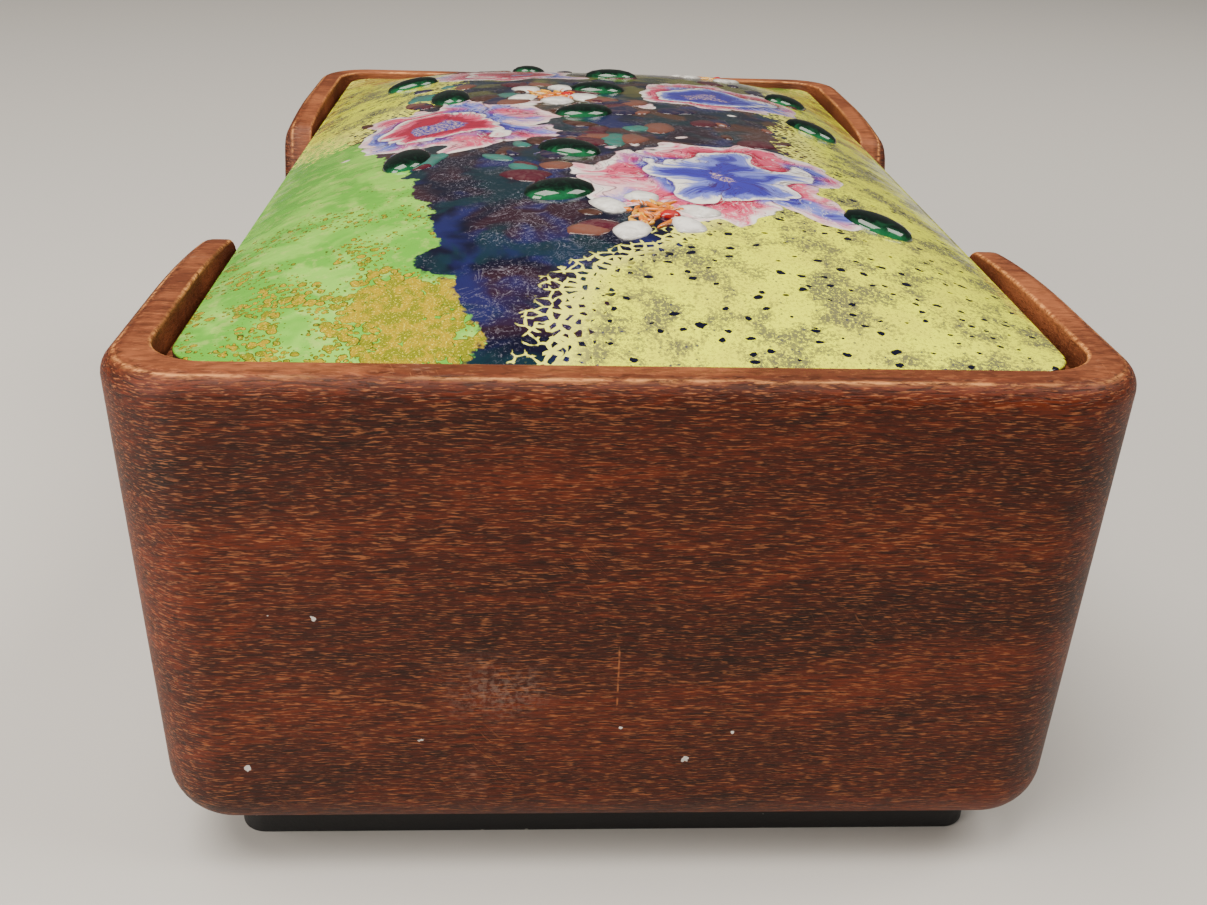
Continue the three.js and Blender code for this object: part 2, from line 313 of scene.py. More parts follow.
def body_piece():
    """The routed block, as one closed skin."""
    outer, normals = outline(BODY_WIDTH / 2, BODY_LENGTH / 2, CORNER_RADIUS)
    rings, wear_and_highlight, rim = [], [], []

    def add(points, z, worn_and_lit=0.0, painted_light=0.0):
        rings.append(ring(points, z))
        wear_and_highlight.append(worn_and_lit)
        rim.append(painted_light)

    def drafted(z, extra):
        inset = (RIM_Z - z) * math.tan(WALL_DRAFT) + extra
        return outer - normals * np.broadcast_to(inset, len(outer))[:, None]

    rim_z = RIM_Z - notch_fall(outer[:, 1])
    for angle in reversed(quarter_turn(ROUND_STEPS)):
        z = UNDERSIDE_Z + BOTTOM_ROUND * (1 - math.sin(angle))
        add(drafted(z, BOTTOM_ROUND * (1 - math.cos(angle))), z)
    # On the outer round the rim's painted light fades as the surface turns down to the front.
    for angle in quarter_turn(RIM_ROUND_STEPS):
        z = rim_z - RIM_OUTER_ROUND * (1 - math.sin(angle))
        share = angle / (math.pi / 2)
        # The pale line near the top of the outer round is partly wear and partly a painted highlight.
        worn_and_lit = OUTER_WEAR_AND_HIGHLIGHT * math.sin(math.pi * share ** 2) ** OUTER_WEAR_AND_HIGHLIGHT_NARROWNESS
        add(drafted(z, RIM_OUTER_ROUND * (1 - math.cos(angle))), z, worn_and_lit, share ** RIM_PAINTED_LIGHT_FADE)

    open_x = BODY_WIDTH / 2 - RIM_WALL
    open_y = BODY_LENGTH / 2 - RIM_WALL
    opening, inward = outline(open_x, open_y, OPENING_CORNER_RADIUS)
    rim_edge = rings[-1][:, :2]
    inner_edge = opening + inward * RIM_INNER_ROUND
    # The rim's top, the inner round and the top of the opening's walls take the full painted light;
    # deep at the ledge it is a little less.
    for step in range(1, RIM_TOP_STEPS):
        share = step / RIM_TOP_STEPS
        between = rim_edge + (inner_edge - rim_edge) * share
        add(between, rim_z, 0.0, 1.0)
    # On the inner round the pale worn line is partly wear and partly a painted highlight.
    for angle in quarter_turn(INNER_ROUND_STEPS):
        share = angle / (math.pi / 2)
        z = rim_z - RIM_INNER_ROUND * (1 - math.cos(angle))
        worn_and_lit = math.sin(math.pi * share) ** 2
        add(opening + inward * RIM_INNER_ROUND * (1 - math.sin(angle)), z, worn_and_lit, 1.0)
    add(opening, rim_z - INNER_WALL_TOP, 0.0, INNER_WALL_PAINTED_LIGHT)
    add(opening, LEDGE_Z, 0.0, LEDGE_PAINTED_LIGHT)
    for angle in quarter_turn(ROUND_STEPS // 2):
        inset = LEDGE_WIDTH + FLOOR_ROUND * (1 - math.cos(angle))
        cavity, _ = outline(open_x - inset, open_y - inset, max(OPENING_CORNER_RADIUS - inset, MM))
        if angle == 0:
            add(cavity, LEDGE_Z)
        add(cavity, FLOOR_Z + FLOOR_ROUND * (1 - math.sin(angle)))
    return skin("box_body_wood", rings, {"wear_and_highlight": wear_and_highlight, "rim": rim})


body = body_piece()

# %% [markdown]
# ## The lid board and the plinth
#
# The lid is a plain board that drops into the opening and rests on the ledge. Only a narrow
# margin of it shows beside the enamel, and its edge shows in the finger notches. The plinth
# under the box is a flat black slab, set back so far that the box seems to float.

# %% Lid board and plinth
BOARD_EDGE_ROUND = 0.6 * MM
PLINTH_CORNER_RADIUS = 3.5 * MM
PLINTH_EDGE_ROUND = 0.4 * MM
LID_PLAY = BODY_WIDTH / 2 - RIM_WALL - board_high.x
BOARD_CORNER_RADIUS = OPENING_CORNER_RADIUS - LID_PLAY


def slab_piece(name, high, low_z, radius, edge_round):
    """A flat slab in plan, with its upper and lower edges rounded over."""
    angles = quarter_turn(RIM_ROUND_STEPS)
    steps = [(angle, low_z, 1) for angle in reversed(angles)]
    steps += [(angle, high.z, -1) for angle in angles]
    rings = []
    for angle, face_z, inward in steps:
        inset = edge_round * (1 - math.cos(angle))
        points, _ = outline(high.x - inset, high.y - inset, radius - inset)
        rings.append(ring(points, face_z + inward * edge_round * (1 - math.sin(angle))))
    return skin(name, rings)


board = slab_piece(
    "lid_board_wood", board_high, board_low.z, BOARD_CORNER_RADIUS, BOARD_EDGE_ROUND)
plinth = slab_piece(
    "plinth_black", plinth_high, plinth_low.z, PLINTH_CORNER_RADIUS, PLINTH_EDGE_ROUND)
print(f"the lid board has {LID_PLAY / MM:.1f} mm of play")

# %% [markdown]
# ## The domed plate
#
# The plate is copper sheet, hammered into a low pillow and enamelled. Its mesh is a grid of
# small squares, so that the values which the enamel's colours are painted by can be kept at
# its points. At the four corners the squares are squeezed onto a quarter circle.

# %% Dome height and grid
GRID_X = 120
GRID_Y = 200
EDGE_BEAD = 0.4 * MM
BEAD_STEPS = 4
PLATE_SHARP_ANGLE = math.radians(50)


def dome(x, y, seat=0.0):
    """Height of the pillow over its edge."""
    u = np.clip(np.abs(x) / (PLATE_HALF_X - seat), 0, 1)
    v = np.clip(np.abs(y) / (PLATE_HALF_Y - seat), 0, 1)
    return DOME_RISE * (1 - u ** DOME_POWER) * (1 - v ** DOME_POWER)


def rounded_grid(half_x, half_y, radius):
    """A grid of plan points whose outer rows follow a rounded rectangle."""
    columns = np.linspace(-half_x, half_x, GRID_X + 1)
    x, y = np.meshgrid(columns, np.linspace(-half_y, half_y, GRID_Y + 1))
    p = np.clip((np.abs(x) - half_x + radius) / radius, 0, 1)
    q = np.clip((np.abs(y) - half_y + radius) / radius, 0, 1)
    squeezed_x = half_x - radius + radius * p * np.sqrt(1 - q ** 2 / 2)
    squeezed_y = half_y - radius + radius * q * np.sqrt(1 - p ** 2 / 2)
    x = np.where(p > 0, np.sign(x) * squeezed_x, x)
    y = np.where(q > 0, np.sign(y) * squeezed_y, y)
    return np.column_stack([x.ravel(), y.ravel()])


def grid_rim():
    """Indices of the grid's outer points, anticlockwise from above."""
    row = GRID_X + 1
    front = list(range(GRID_X))
    right_side = [GRID_X + j * row for j in range(GRID_Y)]
    back = [GRID_Y * row + i for i in range(GRID_X, 0, -1)]
    left_side = [j * row for j in range(GRID_Y, 0, -1)]
    return np.array(front + right_side + back + left_side)


# %% [markdown]
# The plate has a domed top and a hollow underside. A quarter-round bead joins them at the edge,
# and a value called side, which is 0 on the top and 1 on the bead's foot, darkens the edge.

# %% Plate mesh
def plate_piece():
    """The enamelled plate, with its dome, its edge bead and its hollow underside."""
    top_z = BOARD_TOP_Z + PLATE_THICKNESS
    half_x = PLATE_HALF_X - EDGE_BEAD
    half_y = PLATE_HALF_Y - EDGE_BEAD
    top = rounded_grid(half_x, half_y, PLATE_CORNER_RADIUS - EDGE_BEAD)
    under = rounded_grid(PLATE_HALF_X, PLATE_HALF_Y, PLATE_CORNER_RADIUS)
    top_points = np.column_stack([top, top_z + dome(top[:, 0], top[:, 1])])
    hollow = dome(under[:, 0], under[:, 1], PLATE_SEAT)
    under_points = np.column_stack([under, BOARD_TOP_Z + hollow])
    rim = grid_rim()
    count = len(top)
    vertices = [top_points, under_points]
    side = [np.zeros(count), np.ones(count)]
    rows = [rim]
    next_index = 2 * count
    outward = (under[rim] - top[rim]) / EDGE_BEAD
    for angle in quarter_turn(BEAD_STEPS)[1:]:
        bead = top_points[rim].copy()
        bead[:, :2] += outward * EDGE_BEAD * math.sin(angle)
        bead[:, 2] -= EDGE_BEAD * (1 - math.cos(angle))
        vertices.append(bead)
        side.append(np.full(len(rim), angle / (math.pi / 2)))
        rows.append(np.arange(next_index, next_index + len(rim)))
        next_index += len(rim)
    rows.append(rim + count)
    faces = []
    for j in range(GRID_Y):
        for i in range(GRID_X):
            a = j * (GRID_X + 1) + i
            d = a + GRID_X + 1
            faces.append((a, a + 1, d + 1, d))
            faces.append((a + count, d + count, d + 1 + count, a + 1 + count))
    for upper, lower in zip(rows, rows[1:]):
        for i in range(len(rim)):
            j = (i + 1) % len(rim)
            faces.append((upper[i], lower[i], lower[j], upper[j]))
    mesh = bpy.data.meshes.new("enamel_plate_fired")
    faces = [tuple(int(k) for k in face) for face in faces]
    mesh.from_pydata(np.concatenate(vertices).tolist(), [], faces)
    mesh.shade_smooth()
    mesh.set_sharp_from_angle(angle=PLATE_SHARP_ANGLE)
    add_values(mesh, "side", np.concatenate(side))
    print(f"plate: {2 * len(faces)} triangles")
    return new_object("enamel_plate_fired", mesh)


plate = plate_piece()

# %% [markdown]
# ## Laying out the picture
#
# The picture on the plate is a garland of four round blooms on a ground of coloured clouds. The
# enameller would sift one colour beside another and fire them together. Here each cloud is a
# distance in millimetres to its edge, kept at the plate's points, and each bloom is a small
# map of its own. A distance changes smoothly, so the material can cut a crisp edge from it.

# %% Blooms and clouds
BLOOMS = [
    {"across": 0.30, "along": -0.41, "radius": 0.36, "kind": 0.0, "leaves": (150, 200, 330)},
    {"across": -0.46, "along": -0.05, "radius": 0.33, "kind": 1.0, "leaves": (20, 95, 255)},
    {"across": 0.42, "along": 0.27, "radius": 0.30, "kind": 0.0, "leaves": (40, 175, 320)},
    {"across": -0.30, "along": 0.57, "radius": 0.28, "kind": 1.0, "leaves": (80, 200, 350)},
]


def bloom_place(bloom):
    """Centre and radius of a bloom on the plan, in metres."""
    centre = (bloom["across"] * PLATE_HALF_X, bloom["along"] * PLATE_HALF_Y)
    return centre, bloom["radius"] * PLATE_HALF_X


def yellow_distance(x, y):
    """Millimetres inside the yellow cloud, which fills the near right and a far left lobe."""
    edge = np.interp(y, [-90, -70, -58, -40, -15, 10, 60, 90], [-4, 0, 14, 32, 38, 40, 45, 60])
    far_lobe = 11 * (1 - np.hypot((x + 44) / 11, (y - 46) / 28))
    return np.maximum(x - edge, far_lobe)


def green_distance(x, y):
    """Millimetres inside the green cloud on the near left and a patch at the far right."""
    edge = np.interp(y, [-90, -60, -30, 0, 30, 90], [-29, -24, -30, -42, -50, -62])
    far_patch = 12 * (1 - np.hypot((x - 40) / 14, (y - 74) / 16))
    return np.maximum(edge - x, far_patch)


def gold_distance(x, y):
    """Millimetres inside the patch of gold glitter between green and navy."""
    return 9 * (1 - np.hypot((x + 26) / 9, (y + 82) / 14))


def bloom_fields(x, y):
    """The nearest bloom's own map, and the distance from its centre as a share of its radius."""
    reach = np.full(len(x), 9.0)
    local = np.zeros((len(x), 3))
    for bloom in BLOOMS:
        (cx, cy), radius = bloom_place(bloom)
        here = np.hypot(x - cx, y - cy) / radius
        nearer = here < reach
        reach = np.where(nearer, here, reach)
        kind = np.full(len(x), bloom["kind"])
        own = np.column_stack([(x - cx) / radius, (y - cy) / radius, kind])
        local = np.where(nearer[:, None], own, local)
    return reach, local


def paint_fields(mesh):
    """Keeps the blooms' maps and the clouds' distances at the plate's points."""
    flat = np.empty(len(mesh.vertices) * 3)
    mesh.vertices.foreach_get("co", flat)
    x, y, _ = flat.reshape(-1, 3).T
    reach, local = bloom_fields(x, y)
    add_values(mesh, "bloom_reach", reach)
    add_values(mesh, "bloom_map", local)
    clouds = {"yellow": yellow_distance, "green": green_distance, "gold": gold_distance}
    for title, distance in clouds.items():
        add_values(mesh, title, distance(x / MM, y / MM))


paint_fields(plate.data)
print(f"{len(BLOOMS)} blooms painted on the plate")

# %% [markdown]
# ## A short way to write node trees
#
# A material is a tree of small nodes. The helper below adds a node and fills its inputs in one
# line, so that the materials can be read from top to bottom like a recipe.

# %% Node tree helper
def srgb(red, green, blue):
    """A colour written as 0 to 255 in sRGB, as the linear colour that shaders use."""
    def linear(value):
        share = value / 255
        return share / 12.92 if share <= 0.04045 else ((share + 0.055) / 1.055) ** 2.4
    return (linear(red), linear(green), linear(blue), 1.0)


class Tree:
    """Adds nodes to a node tree. Its textures lie in space, or in plan where dimensions is 2D."""

    def __init__(self, tree):
        self.tree = tree
        self.dimensions = "3D"

    def add(self, kind, inputs=None, **settings):
        node = self.tree.nodes.new(kind)
        for key, value in settings.items():
            setattr(node, key, value)
        for key, value in (inputs or {}).items():
            if isinstance(value, bpy.types.NodeSocket):
                self.tree.links.new(value, node.inputs[key])
            else:
                node.inputs[key].default_value = value
        return node

    def math(self, operation, first, second=0.0):
        return self.add("ShaderNodeMath", {0: first, 1: second}, operation=operation).outputs[0]

    def plus(self, first, second):
        return self.math("ADD", first, second)

    def minus(self, first, second):
        return self.math("SUBTRACT", first, second)

    def times(self, first, second):
        return self.math("MULTIPLY", first, second)

    def vector(self, operation, first, second=(0.0, 0.0, 0.0)):
        return self.add("ShaderNodeVectorMath", {0: first, 1: second}, operation=operation).outputs[0]

    def scaled(self, vector, x, y, z):
        return self.vector("MULTIPLY", vector, (x, y, z))

    def shifted(self, vector, x, y, z=0):
        return self.vector("ADD", vector, (x, y, z))

    def length(self, vector):
        return self.add("ShaderNodeVectorMath", {0: vector}, operation="LENGTH").outputs["Value"]

    def axis(self, vector, name):
        """The X, Y or Z of a vector."""
        return self.add("ShaderNodeSeparateXYZ", {0: vector}).outputs[name]

    def ramp(self, value, start, end):
        """Rises smoothly from 0 at start to 1 at end."""
        inputs = {"Value": value, "From Min": start, "From Max": end}
        return self.add("ShaderNodeMapRange", inputs, interpolation_type="SMOOTHSTEP").outputs[0]

    def mix(self, share, first, second):
        """The first colour where share is 0 and the second where it is 1."""
        inputs = {0: share, 6: first, 7: second}
        return self.add("ShaderNodeMix", inputs, data_type="RGBA").outputs[2]

    def noise(self, vector, scale, detail=2.0, roughness=0.5, distortion=0.0):
        inputs = {
            "Vector": vector,
            "Scale": scale,
            "Detail": detail,
            "Roughness": roughness,
            "Distortion": distortion,
        }
        return self.add("ShaderNodeTexNoise", inputs, noise_dimensions=self.dimensions).outputs["Fac"]

    def swing(self, amount, *noise):
        """A noise that runs from half of amount under 0 to half of it over 0."""
        return self.times(self.minus(self.noise(*noise), 0.5), amount)

    def bend(self, vector, scale, amount, detail=2.0, roughness=0.5):
        """The vector, pushed to and fro by a noise."""
        inputs = {"Vector": vector, "Scale": scale, "Detail": detail, "Roughness": roughness}
        node = self.add("ShaderNodeTexNoise", inputs, noise_dimensions=self.dimensions)
        push = self.vector("SUBTRACT", node.outputs["Color"], (0.5, 0.5, 0.5))
        return self.vector("ADD", vector, self.vector("MULTIPLY", push, amount))

    def cells(self, vector, scale, feature="F1"):
        inputs = {"Vector": vector, "Scale": scale}
        settings = {"feature": feature, "voronoi_dimensions": self.dimensions}
        return self.add("ShaderNodeTexVoronoi", inputs, **settings)

    def edges(self, vector, scale):
        """Distance to the nearest border between cells."""
        return self.cells(vector, scale, "DISTANCE_TO_EDGE").outputs["Distance"]

    def attribute(self, name, output="Fac"):
        return self.add("ShaderNodeAttribute", attribute_name=name).outputs[output]

    def millimetres(self):
        """Object coordinates in millimetres."""
        place = self.add("ShaderNodeTexCoord").outputs["Object"]
        return self.scaled(place, 1000, 1000, 1000)

    def group(self, tree, inputs):
        return self.add("ShaderNodeGroup", inputs, node_tree=tree).outputs

    def bump(self, height, strength, distance):
        """Normals that follow a height, as if the surface rose by up to distance metres."""
        inputs = {"Height": height, "Strength": strength, "Distance": distance}
        return self.add("ShaderNodeBump", inputs).outputs[0]

    def give(self, value, socket):
        """Hands a value on to a socket of the tree's own output."""
        self.tree.links.new(value, socket)


def new_group(name, inputs, outputs, kind="ShaderNodeTree"):
    """A node group with named inputs and outputs."""
    tree = bpy.data.node_groups.new(name, kind)
    for title, socket_type, value in inputs:
        socket = tree.interface.new_socket(name=title, in_out="INPUT", socket_type=socket_type)
        if value is not None:
            socket.default_value = value
    for title, socket_type in outputs:
        tree.interface.new_socket(name=title, in_out="OUTPUT", socket_type=socket_type)
    group_in = tree.nodes.new("NodeGroupInput").outputs
    group_out = tree.nodes.new("NodeGroupOutput").inputs
    return Tree(tree), group_in, group_out


def new_material(name):
    material = bpy.data.materials.new(name)
    material.use_nodes = True
    material.node_tree.nodes.clear()
    return material, Tree(material.node_tree)


def finish_material(g, inputs):
    shader = g.add("ShaderNodeBsdfPrincipled", inputs)
    g.add("ShaderNodeOutputMaterial", {"Surface": shader.outputs[0]})


# %% [markdown]
# ## Groups shared by the materials
#
# Beech has short dark dashes, which are its rays, and finer pale ones, all lying along the grain; the
# pale ones are partly grain and partly painted glints of light.
# Its grain runs across this box, so the front shows dashes and the long sides show their ends.
# Stretched noise gives both from one pattern in space. Dust and rubbing are groups as well,
# because the wood, the lid and the plinth have all gathered the same dust.

# %% Wood grain group
VECTOR = "NodeSocketVector"
FLOAT = "NodeSocketFloat"


def wood_grain_group():
    """Vector is in millimetres, with the grain along its x."""
    g, given, out = new_group(
        "Wood grain",
        [("Vector", VECTOR, None), ("Slant", FLOAT, 0.1)],
        [(title, FLOAT) for title in ("Band", "Streak", "Fleck", "Glint", "Height")],
    )
    split = g.add("ShaderNodeSeparateXYZ", {0: given["Vector"]}).outputs
    lean = g.times(split["X"], given["Slant"])
    wave = g.times(g.noise(given["Vector"], 0.035, 2.0), 14.0)
    height = g.plus(g.minus(split["Z"], lean), wave)
    leaning = g.add("ShaderNodeCombineXYZ", {0: split["X"], 1: split["Y"], 2: height}).outputs[0]
    wide = g.noise(g.scaled(leaning, 0.012, 0.04, 0.10), 1.0, 2.0, 0.5)
    narrow = g.noise(g.scaled(leaning, 0.05, 0.3, 0.5), 1.0, 3.0, 0.6)
    band = g.plus(g.times(wide, 0.6), g.times(narrow, 0.4))
    bent = g.bend(given["Vector"], 0.22, (0.0, 0.5, 0.5), 1.0)
    streak = g.noise(g.scaled(bent, 0.24, 0.9, 2.8), 1.0, 4.0, 0.74)
    rays = g.noise(g.shifted(g.scaled(bent, 0.38, 1.1, 4.6), 7, 3, 11), 1.0, 2.0, 0.6)
    glints = g.noise(g.shifted(g.scaled(bent, 0.58, 1.5, 6.2), 17, 31, 5), 1.0, 2.0, 0.6)
    fleck = g.ramp(rays, 0.52, 0.64)
    glint = g.ramp(glints, 0.54, 0.68)
    relief = g.plus(streak, g.minus(glint, fleck))
    results = {"Band": band, "Streak": streak, "Fleck": fleck, "Glint": glint, "Height": relief}
    for title, value in results.items():
        g.give(value, out[title])
    return g.tree


wood_grain = wood_grain_group()

# %% [markdown]
# Specks of dust lie one to a cell of a Voronoi pattern, and only in some of the cells. Rubbing
# is a cloud with a soft edge. Hairlines are thin ribbons of a long stretched noise, and a second
# cloud shows them in places only.

# %% Dust and rubbing groups
def specks_group(name, dimensions):
    """Sparse specks: Size is their radius and Spacing their distance apart, in millimetres."""
    g, given, out = new_group(
        name,
        [
            ("Vector", VECTOR, None),
            ("Spacing", FLOAT, 6.0),
            ("Size", FLOAT, 0.2),
            ("Amount", FLOAT, 0.5),
            ("Ragged", FLOAT, 0.5),
        ],
        [("Mask", FLOAT)],
    )
    g.dimensions = dimensions
    scale = g.math("DIVIDE", 1.0, given["Spacing"])
    cells = g.cells(given["Vector"], scale)
    chance = g.add("ShaderNodeSeparateColor", {0: cells.outputs["Color"]}).outputs
    kept = g.math("LESS_THAN", chance[0], given["Amount"])
    uneven = g.swing(given["Ragged"], given["Vector"], 2.0, 2.0)
    grown = g.plus(g.plus(0.55, g.times(chance[1], 0.9)), g.times(uneven, 3.0))
    reach = g.times(g.times(given["Size"], scale), grown)
    share = g.math("DIVIDE", cells.outputs["Distance"], reach)
    inside = g.ramp(share, 1.1, 0.9)
    g.give(g.times(kept, inside), out["Mask"])
    return g.tree


def smudge_group():
    """Cloudy rubbing: 1 where a surface has been handled and 0 where it hasn't."""
    g, given, out = new_group(
        "Rubbing",
        [("Vector", VECTOR, None), ("Spacing", FLOAT, 30.0), ("Amount", FLOAT, 0.5)],
        [("Mask", FLOAT)],
    )
    scale = g.math("DIVIDE", 1.0, given["Spacing"])
    cloud = g.noise(given["Vector"], scale, 5.0, 0.62)
    low = g.minus(0.8, g.times(given["Amount"], 0.5))
    g.give(g.ramp(cloud, low, g.plus(low, 0.18)), out["Mask"])
    return g.tree


def scratches_group():
    """Fine hairlines that lie at an angle: 1 on a hairline, and only in cloudy places."""
    g, given, out = new_group(
        "Hairlines",
        [("Vector", VECTOR, None), ("Turn", FLOAT, 0.6), ("Amount", FLOAT, 0.5)],
        [("Mask", FLOAT)],
    )
    inputs = {"Vector": given["Vector"], "Angle": given["Turn"]}
    turned = g.add("ShaderNodeVectorRotate", inputs, rotation_type="Y_AXIS").outputs[0]
    warp = g.times(g.noise(given["Vector"], 0.08, 1.0), 5.0)
    warp = g.add("ShaderNodeCombineXYZ", {2: warp}).outputs[0]
    bent = g.vector("ADD", turned, warp)
    lines = g.noise(g.scaled(bent, 0.09, 0.09, 3.2), 1.0, 1.0, 0.4)
    line = g.ramp(g.math("ABSOLUTE", g.minus(lines, 0.66)), 0.012, 0.0)
    cloud = g.noise(given["Vector"], 0.045, 3.0, 0.6)
    low = g.minus(0.78, g.times(given["Amount"], 0.4))
    inputs = {"Value": cloud, "From Min": low, "From Max": g.plus(low, 0.08)}
    shown = g.add("ShaderNodeMapRange", inputs).outputs[0]
    g.give(g.times(line, shown), out["Mask"])
    return g.tree


specks = specks_group("Specks in space", "3D")
flat_specks = specks_group("Specks in plan", "2D")
smudge = smudge_group()
hairlines = scratches_group()
print("shader groups:", [tree.name for tree in bpy.data.node_groups])

# %% [markdown]
# ## Stained beech
#
# The stain is a dark red-brown that soaks deeper into some bands than others. The rim and the
# walls of the opening get a lighter, warmer colour, which is painted light: on the faces that
# turn up and on the opening's walls. Along the rim's edges a pale line is partly wear and partly
# a painted highlight. The front also has a few pale chips, one upright scratch and a scuff, each
# at a place of its own.

# %% Wood material
STAIN_DARK = srgb(29, 12, 6)
STAIN_DEEP = srgb(59, 21, 9)
STAIN_WARM = srgb(97, 37, 15)
# A pale colour for scratches and hairlines, and for painted glints on the grain.
PALE_WOOD_AND_GLINT = srgb(196, 122, 74)
# These two are a painted lit colour for the rim's top and the opening's walls.
LIT_RIM_WARM = srgb(162, 96, 60)
LIT_RIM_DEEP = srgb(104, 56, 36)
# A pale worn colour that also stands in for painted highlights on the rim's edges.
WORN_AND_HIGHLIT = srgb(236, 160, 92)
DUST = srgb(232, 228, 220)
GREASE = srgb(150, 126, 112)
CHIPS = [(-36.5, 40.2, 0.42), (8.6, 18.8, 0.4), (-46.0, 17.6, 0.45), (-24.5, 22.0, 0.3)]
SCRATCH_X = -0.3
SCRATCH_Z = 31.5
SCRATCH_HALF = 5.0
SCUFF_PLACE = (-15.0, -94.0, 30.0)


def front_marks(g, place):
    """Masks of the front's few chips, its one upright scratch and its pale scuff."""
    split = g.add("ShaderNodeSeparateXYZ", {0: place}).outputs
    front = g.ramp(split["Y"], -88.0, -90.0)
    ragged = g.swing(1.3, place, 1.6, 3.0)
    chips = 0.0
    for x, z, size in CHIPS:
        across = g.minus(split["X"], x)
        up = g.minus(split["Z"], z)
        reach = g.math("SQRT", g.plus(g.times(across, across), g.times(up, up)))
        chip = g.ramp(g.plus(reach, ragged), size, size * 0.7)
        chips = g.math("MAXIMUM", chips, chip)
    aside = g.math("ABSOLUTE", g.minus(split["X"], SCRATCH_X))
    above = g.math("ABSOLUTE", g.minus(split["Z"], SCRATCH_Z))
    broken = g.ramp(g.noise(place, 0.9, 2.0), 0.38, 0.5)
    scratch = g.times(g.ramp(aside, 0.16, 0.04), g.ramp(above, SCRATCH_HALF, SCRATCH_HALF - 1.0))
    away = g.vector("SUBTRACT", place, SCUFF_PLACE)
    spread = g.length(g.scaled(away, 0.8, 0.2, 1.2))
    scuff = g.ramp(g.plus(spread, g.times(g.noise(place, 0.2, 3.0), 8.0)), 12.0, 3.0)
    return [g.times(front, mark) for mark in (chips, g.times(scratch, broken), scuff)]


def wood_material(name, rubbed, painted_lift):
    """Stained beech; rubbed scales the wear with its painted highlights and the rim's painted light,
    and the third number lightens the whole piece as painted light.
    """
    material, g = new_material(name)
    place = g.millimetres()
    grain = g.group(wood_grain, {"Vector": place, "Slant": 0.14})
    tone = g.plus(g.times(grain["Band"], 1.5), g.times(grain["Streak"], 1.4))
    color = g.mix(g.ramp(tone, 1.05, 1.42), STAIN_DARK, STAIN_DEEP)
    color = g.mix(g.ramp(tone, 1.36, 1.8), color, STAIN_WARM)
    # The rim's lighter, warmer colour is painted light on the faces that turn up and on the opening's
    # walls; the third number paints the same lightening over a whole piece.
    rim = g.times(g.attribute("rim"), rubbed)
    rim_tone = g.plus(g.noise(place, 0.06, 3.0), g.times(grain["Streak"], 0.6))
    painted_lit_rim_color = g.mix(g.ramp(rim_tone, 0.62, 1.0), LIT_RIM_DEEP, LIT_RIM_WARM)
    color = g.mix(g.math("MAXIMUM", g.times(rim, 0.85), painted_lift), color, painted_lit_rim_color)
    soft = g.minus(1.0, g.times(rim, 0.6))
    color = g.mix(g.times(grain["Fleck"], g.times(soft, 0.72)), color, STAIN_DARK)
    # The pale dashes are partly grain and partly painted glints.
    color = g.mix(g.times(grain["Glint"], g.times(soft, 0.42)), color, PALE_WOOD_AND_GLINT)
    # The pale worn line is partly wear and partly a painted highlight along the rim's rounded edges.
    worn_cloud = g.ramp(g.noise(g.scaled(place, 0.35, 1.4, 1.4), 1.0, 4.0, 0.7), 0.38, 0.60)
    worn_places = g.ramp(g.noise(place, 0.07, 2.0), 0.32, 0.60)
    wear_and_highlight = g.times(g.attribute("wear_and_highlight"), rubbed)
    worn_and_lit = g.times(wear_and_highlight, g.times(worn_cloud, worn_places))
    color = g.mix(worn_and_lit, color, WORN_AND_HIGHLIT)
    chips, scratch, pale = front_marks(g, place)
    greyed = g.times(g.ramp(g.noise(place, 1.4, 3.0, 0.7), 0.42, 0.62), 0.34)
    color = g.mix(g.times(g.times(pale, rubbed), greyed), color, GREASE)
    scuff = g.group(smudge, {"Vector": place, "Spacing": 22.0, "Amount": 0.36})["Mask"]
    scuff = g.times(scuff, rubbed)
    scuffed = g.times(scuff, g.plus(0.08, g.times(grain["Glint"], 0.55)))
    color = g.mix(scuffed, color, GREASE)
    lines = g.group(hairlines, {"Vector": place, "Turn": -0.9, "Amount": 0.55})["Mask"]
    color = g.mix(g.times(lines, 0.35), color, PALE_WOOD_AND_GLINT)
    dust = g.group(specks, {"Vector": place, "Spacing": 7.0, "Size": 0.24, "Amount": 0.08})["Mask"]
    color = g.mix(g.times(dust, 0.85), color, DUST)
    color = g.mix(g.times(scratch, 0.4), color, PALE_WOOD_AND_GLINT)
    color = g.mix(g.times(chips, 0.65 * rubbed), color, DUST)
    rough = g.plus(0.40, g.times(grain["Streak"], 0.2))
    rough = g.plus(rough, g.times(scuff, 0.14))
    relief = g.plus(grain["Height"], g.times(dust, 1.5))
    finish_material(g, {
        "Base Color": color,
        "Roughness": rough,
        "IOR": 1.45,
        "Specular IOR Level": 0.24,
        "Normal": g.bump(relief, 0.5, 0.08 * MM),
    })
    return material


body.data.materials.append(wood_material("stained_beech", 1.0, 0.0))
# The lid board is lightened all over as painted light, standing in for light in the shaded gap beside
# the plate.
board.data.materials.append(wood_material("stained_beech_lid", 0.0, 0.8))

# %% [markdown]
# ## Black plinth
#
# The plinth is painted matt black. It only shows as a dark line under the box, a little dusty.

# %% Plinth material
MATT_BLACK = srgb(17, 16, 17)
RUBBED_BLACK = srgb(38, 36, 36)


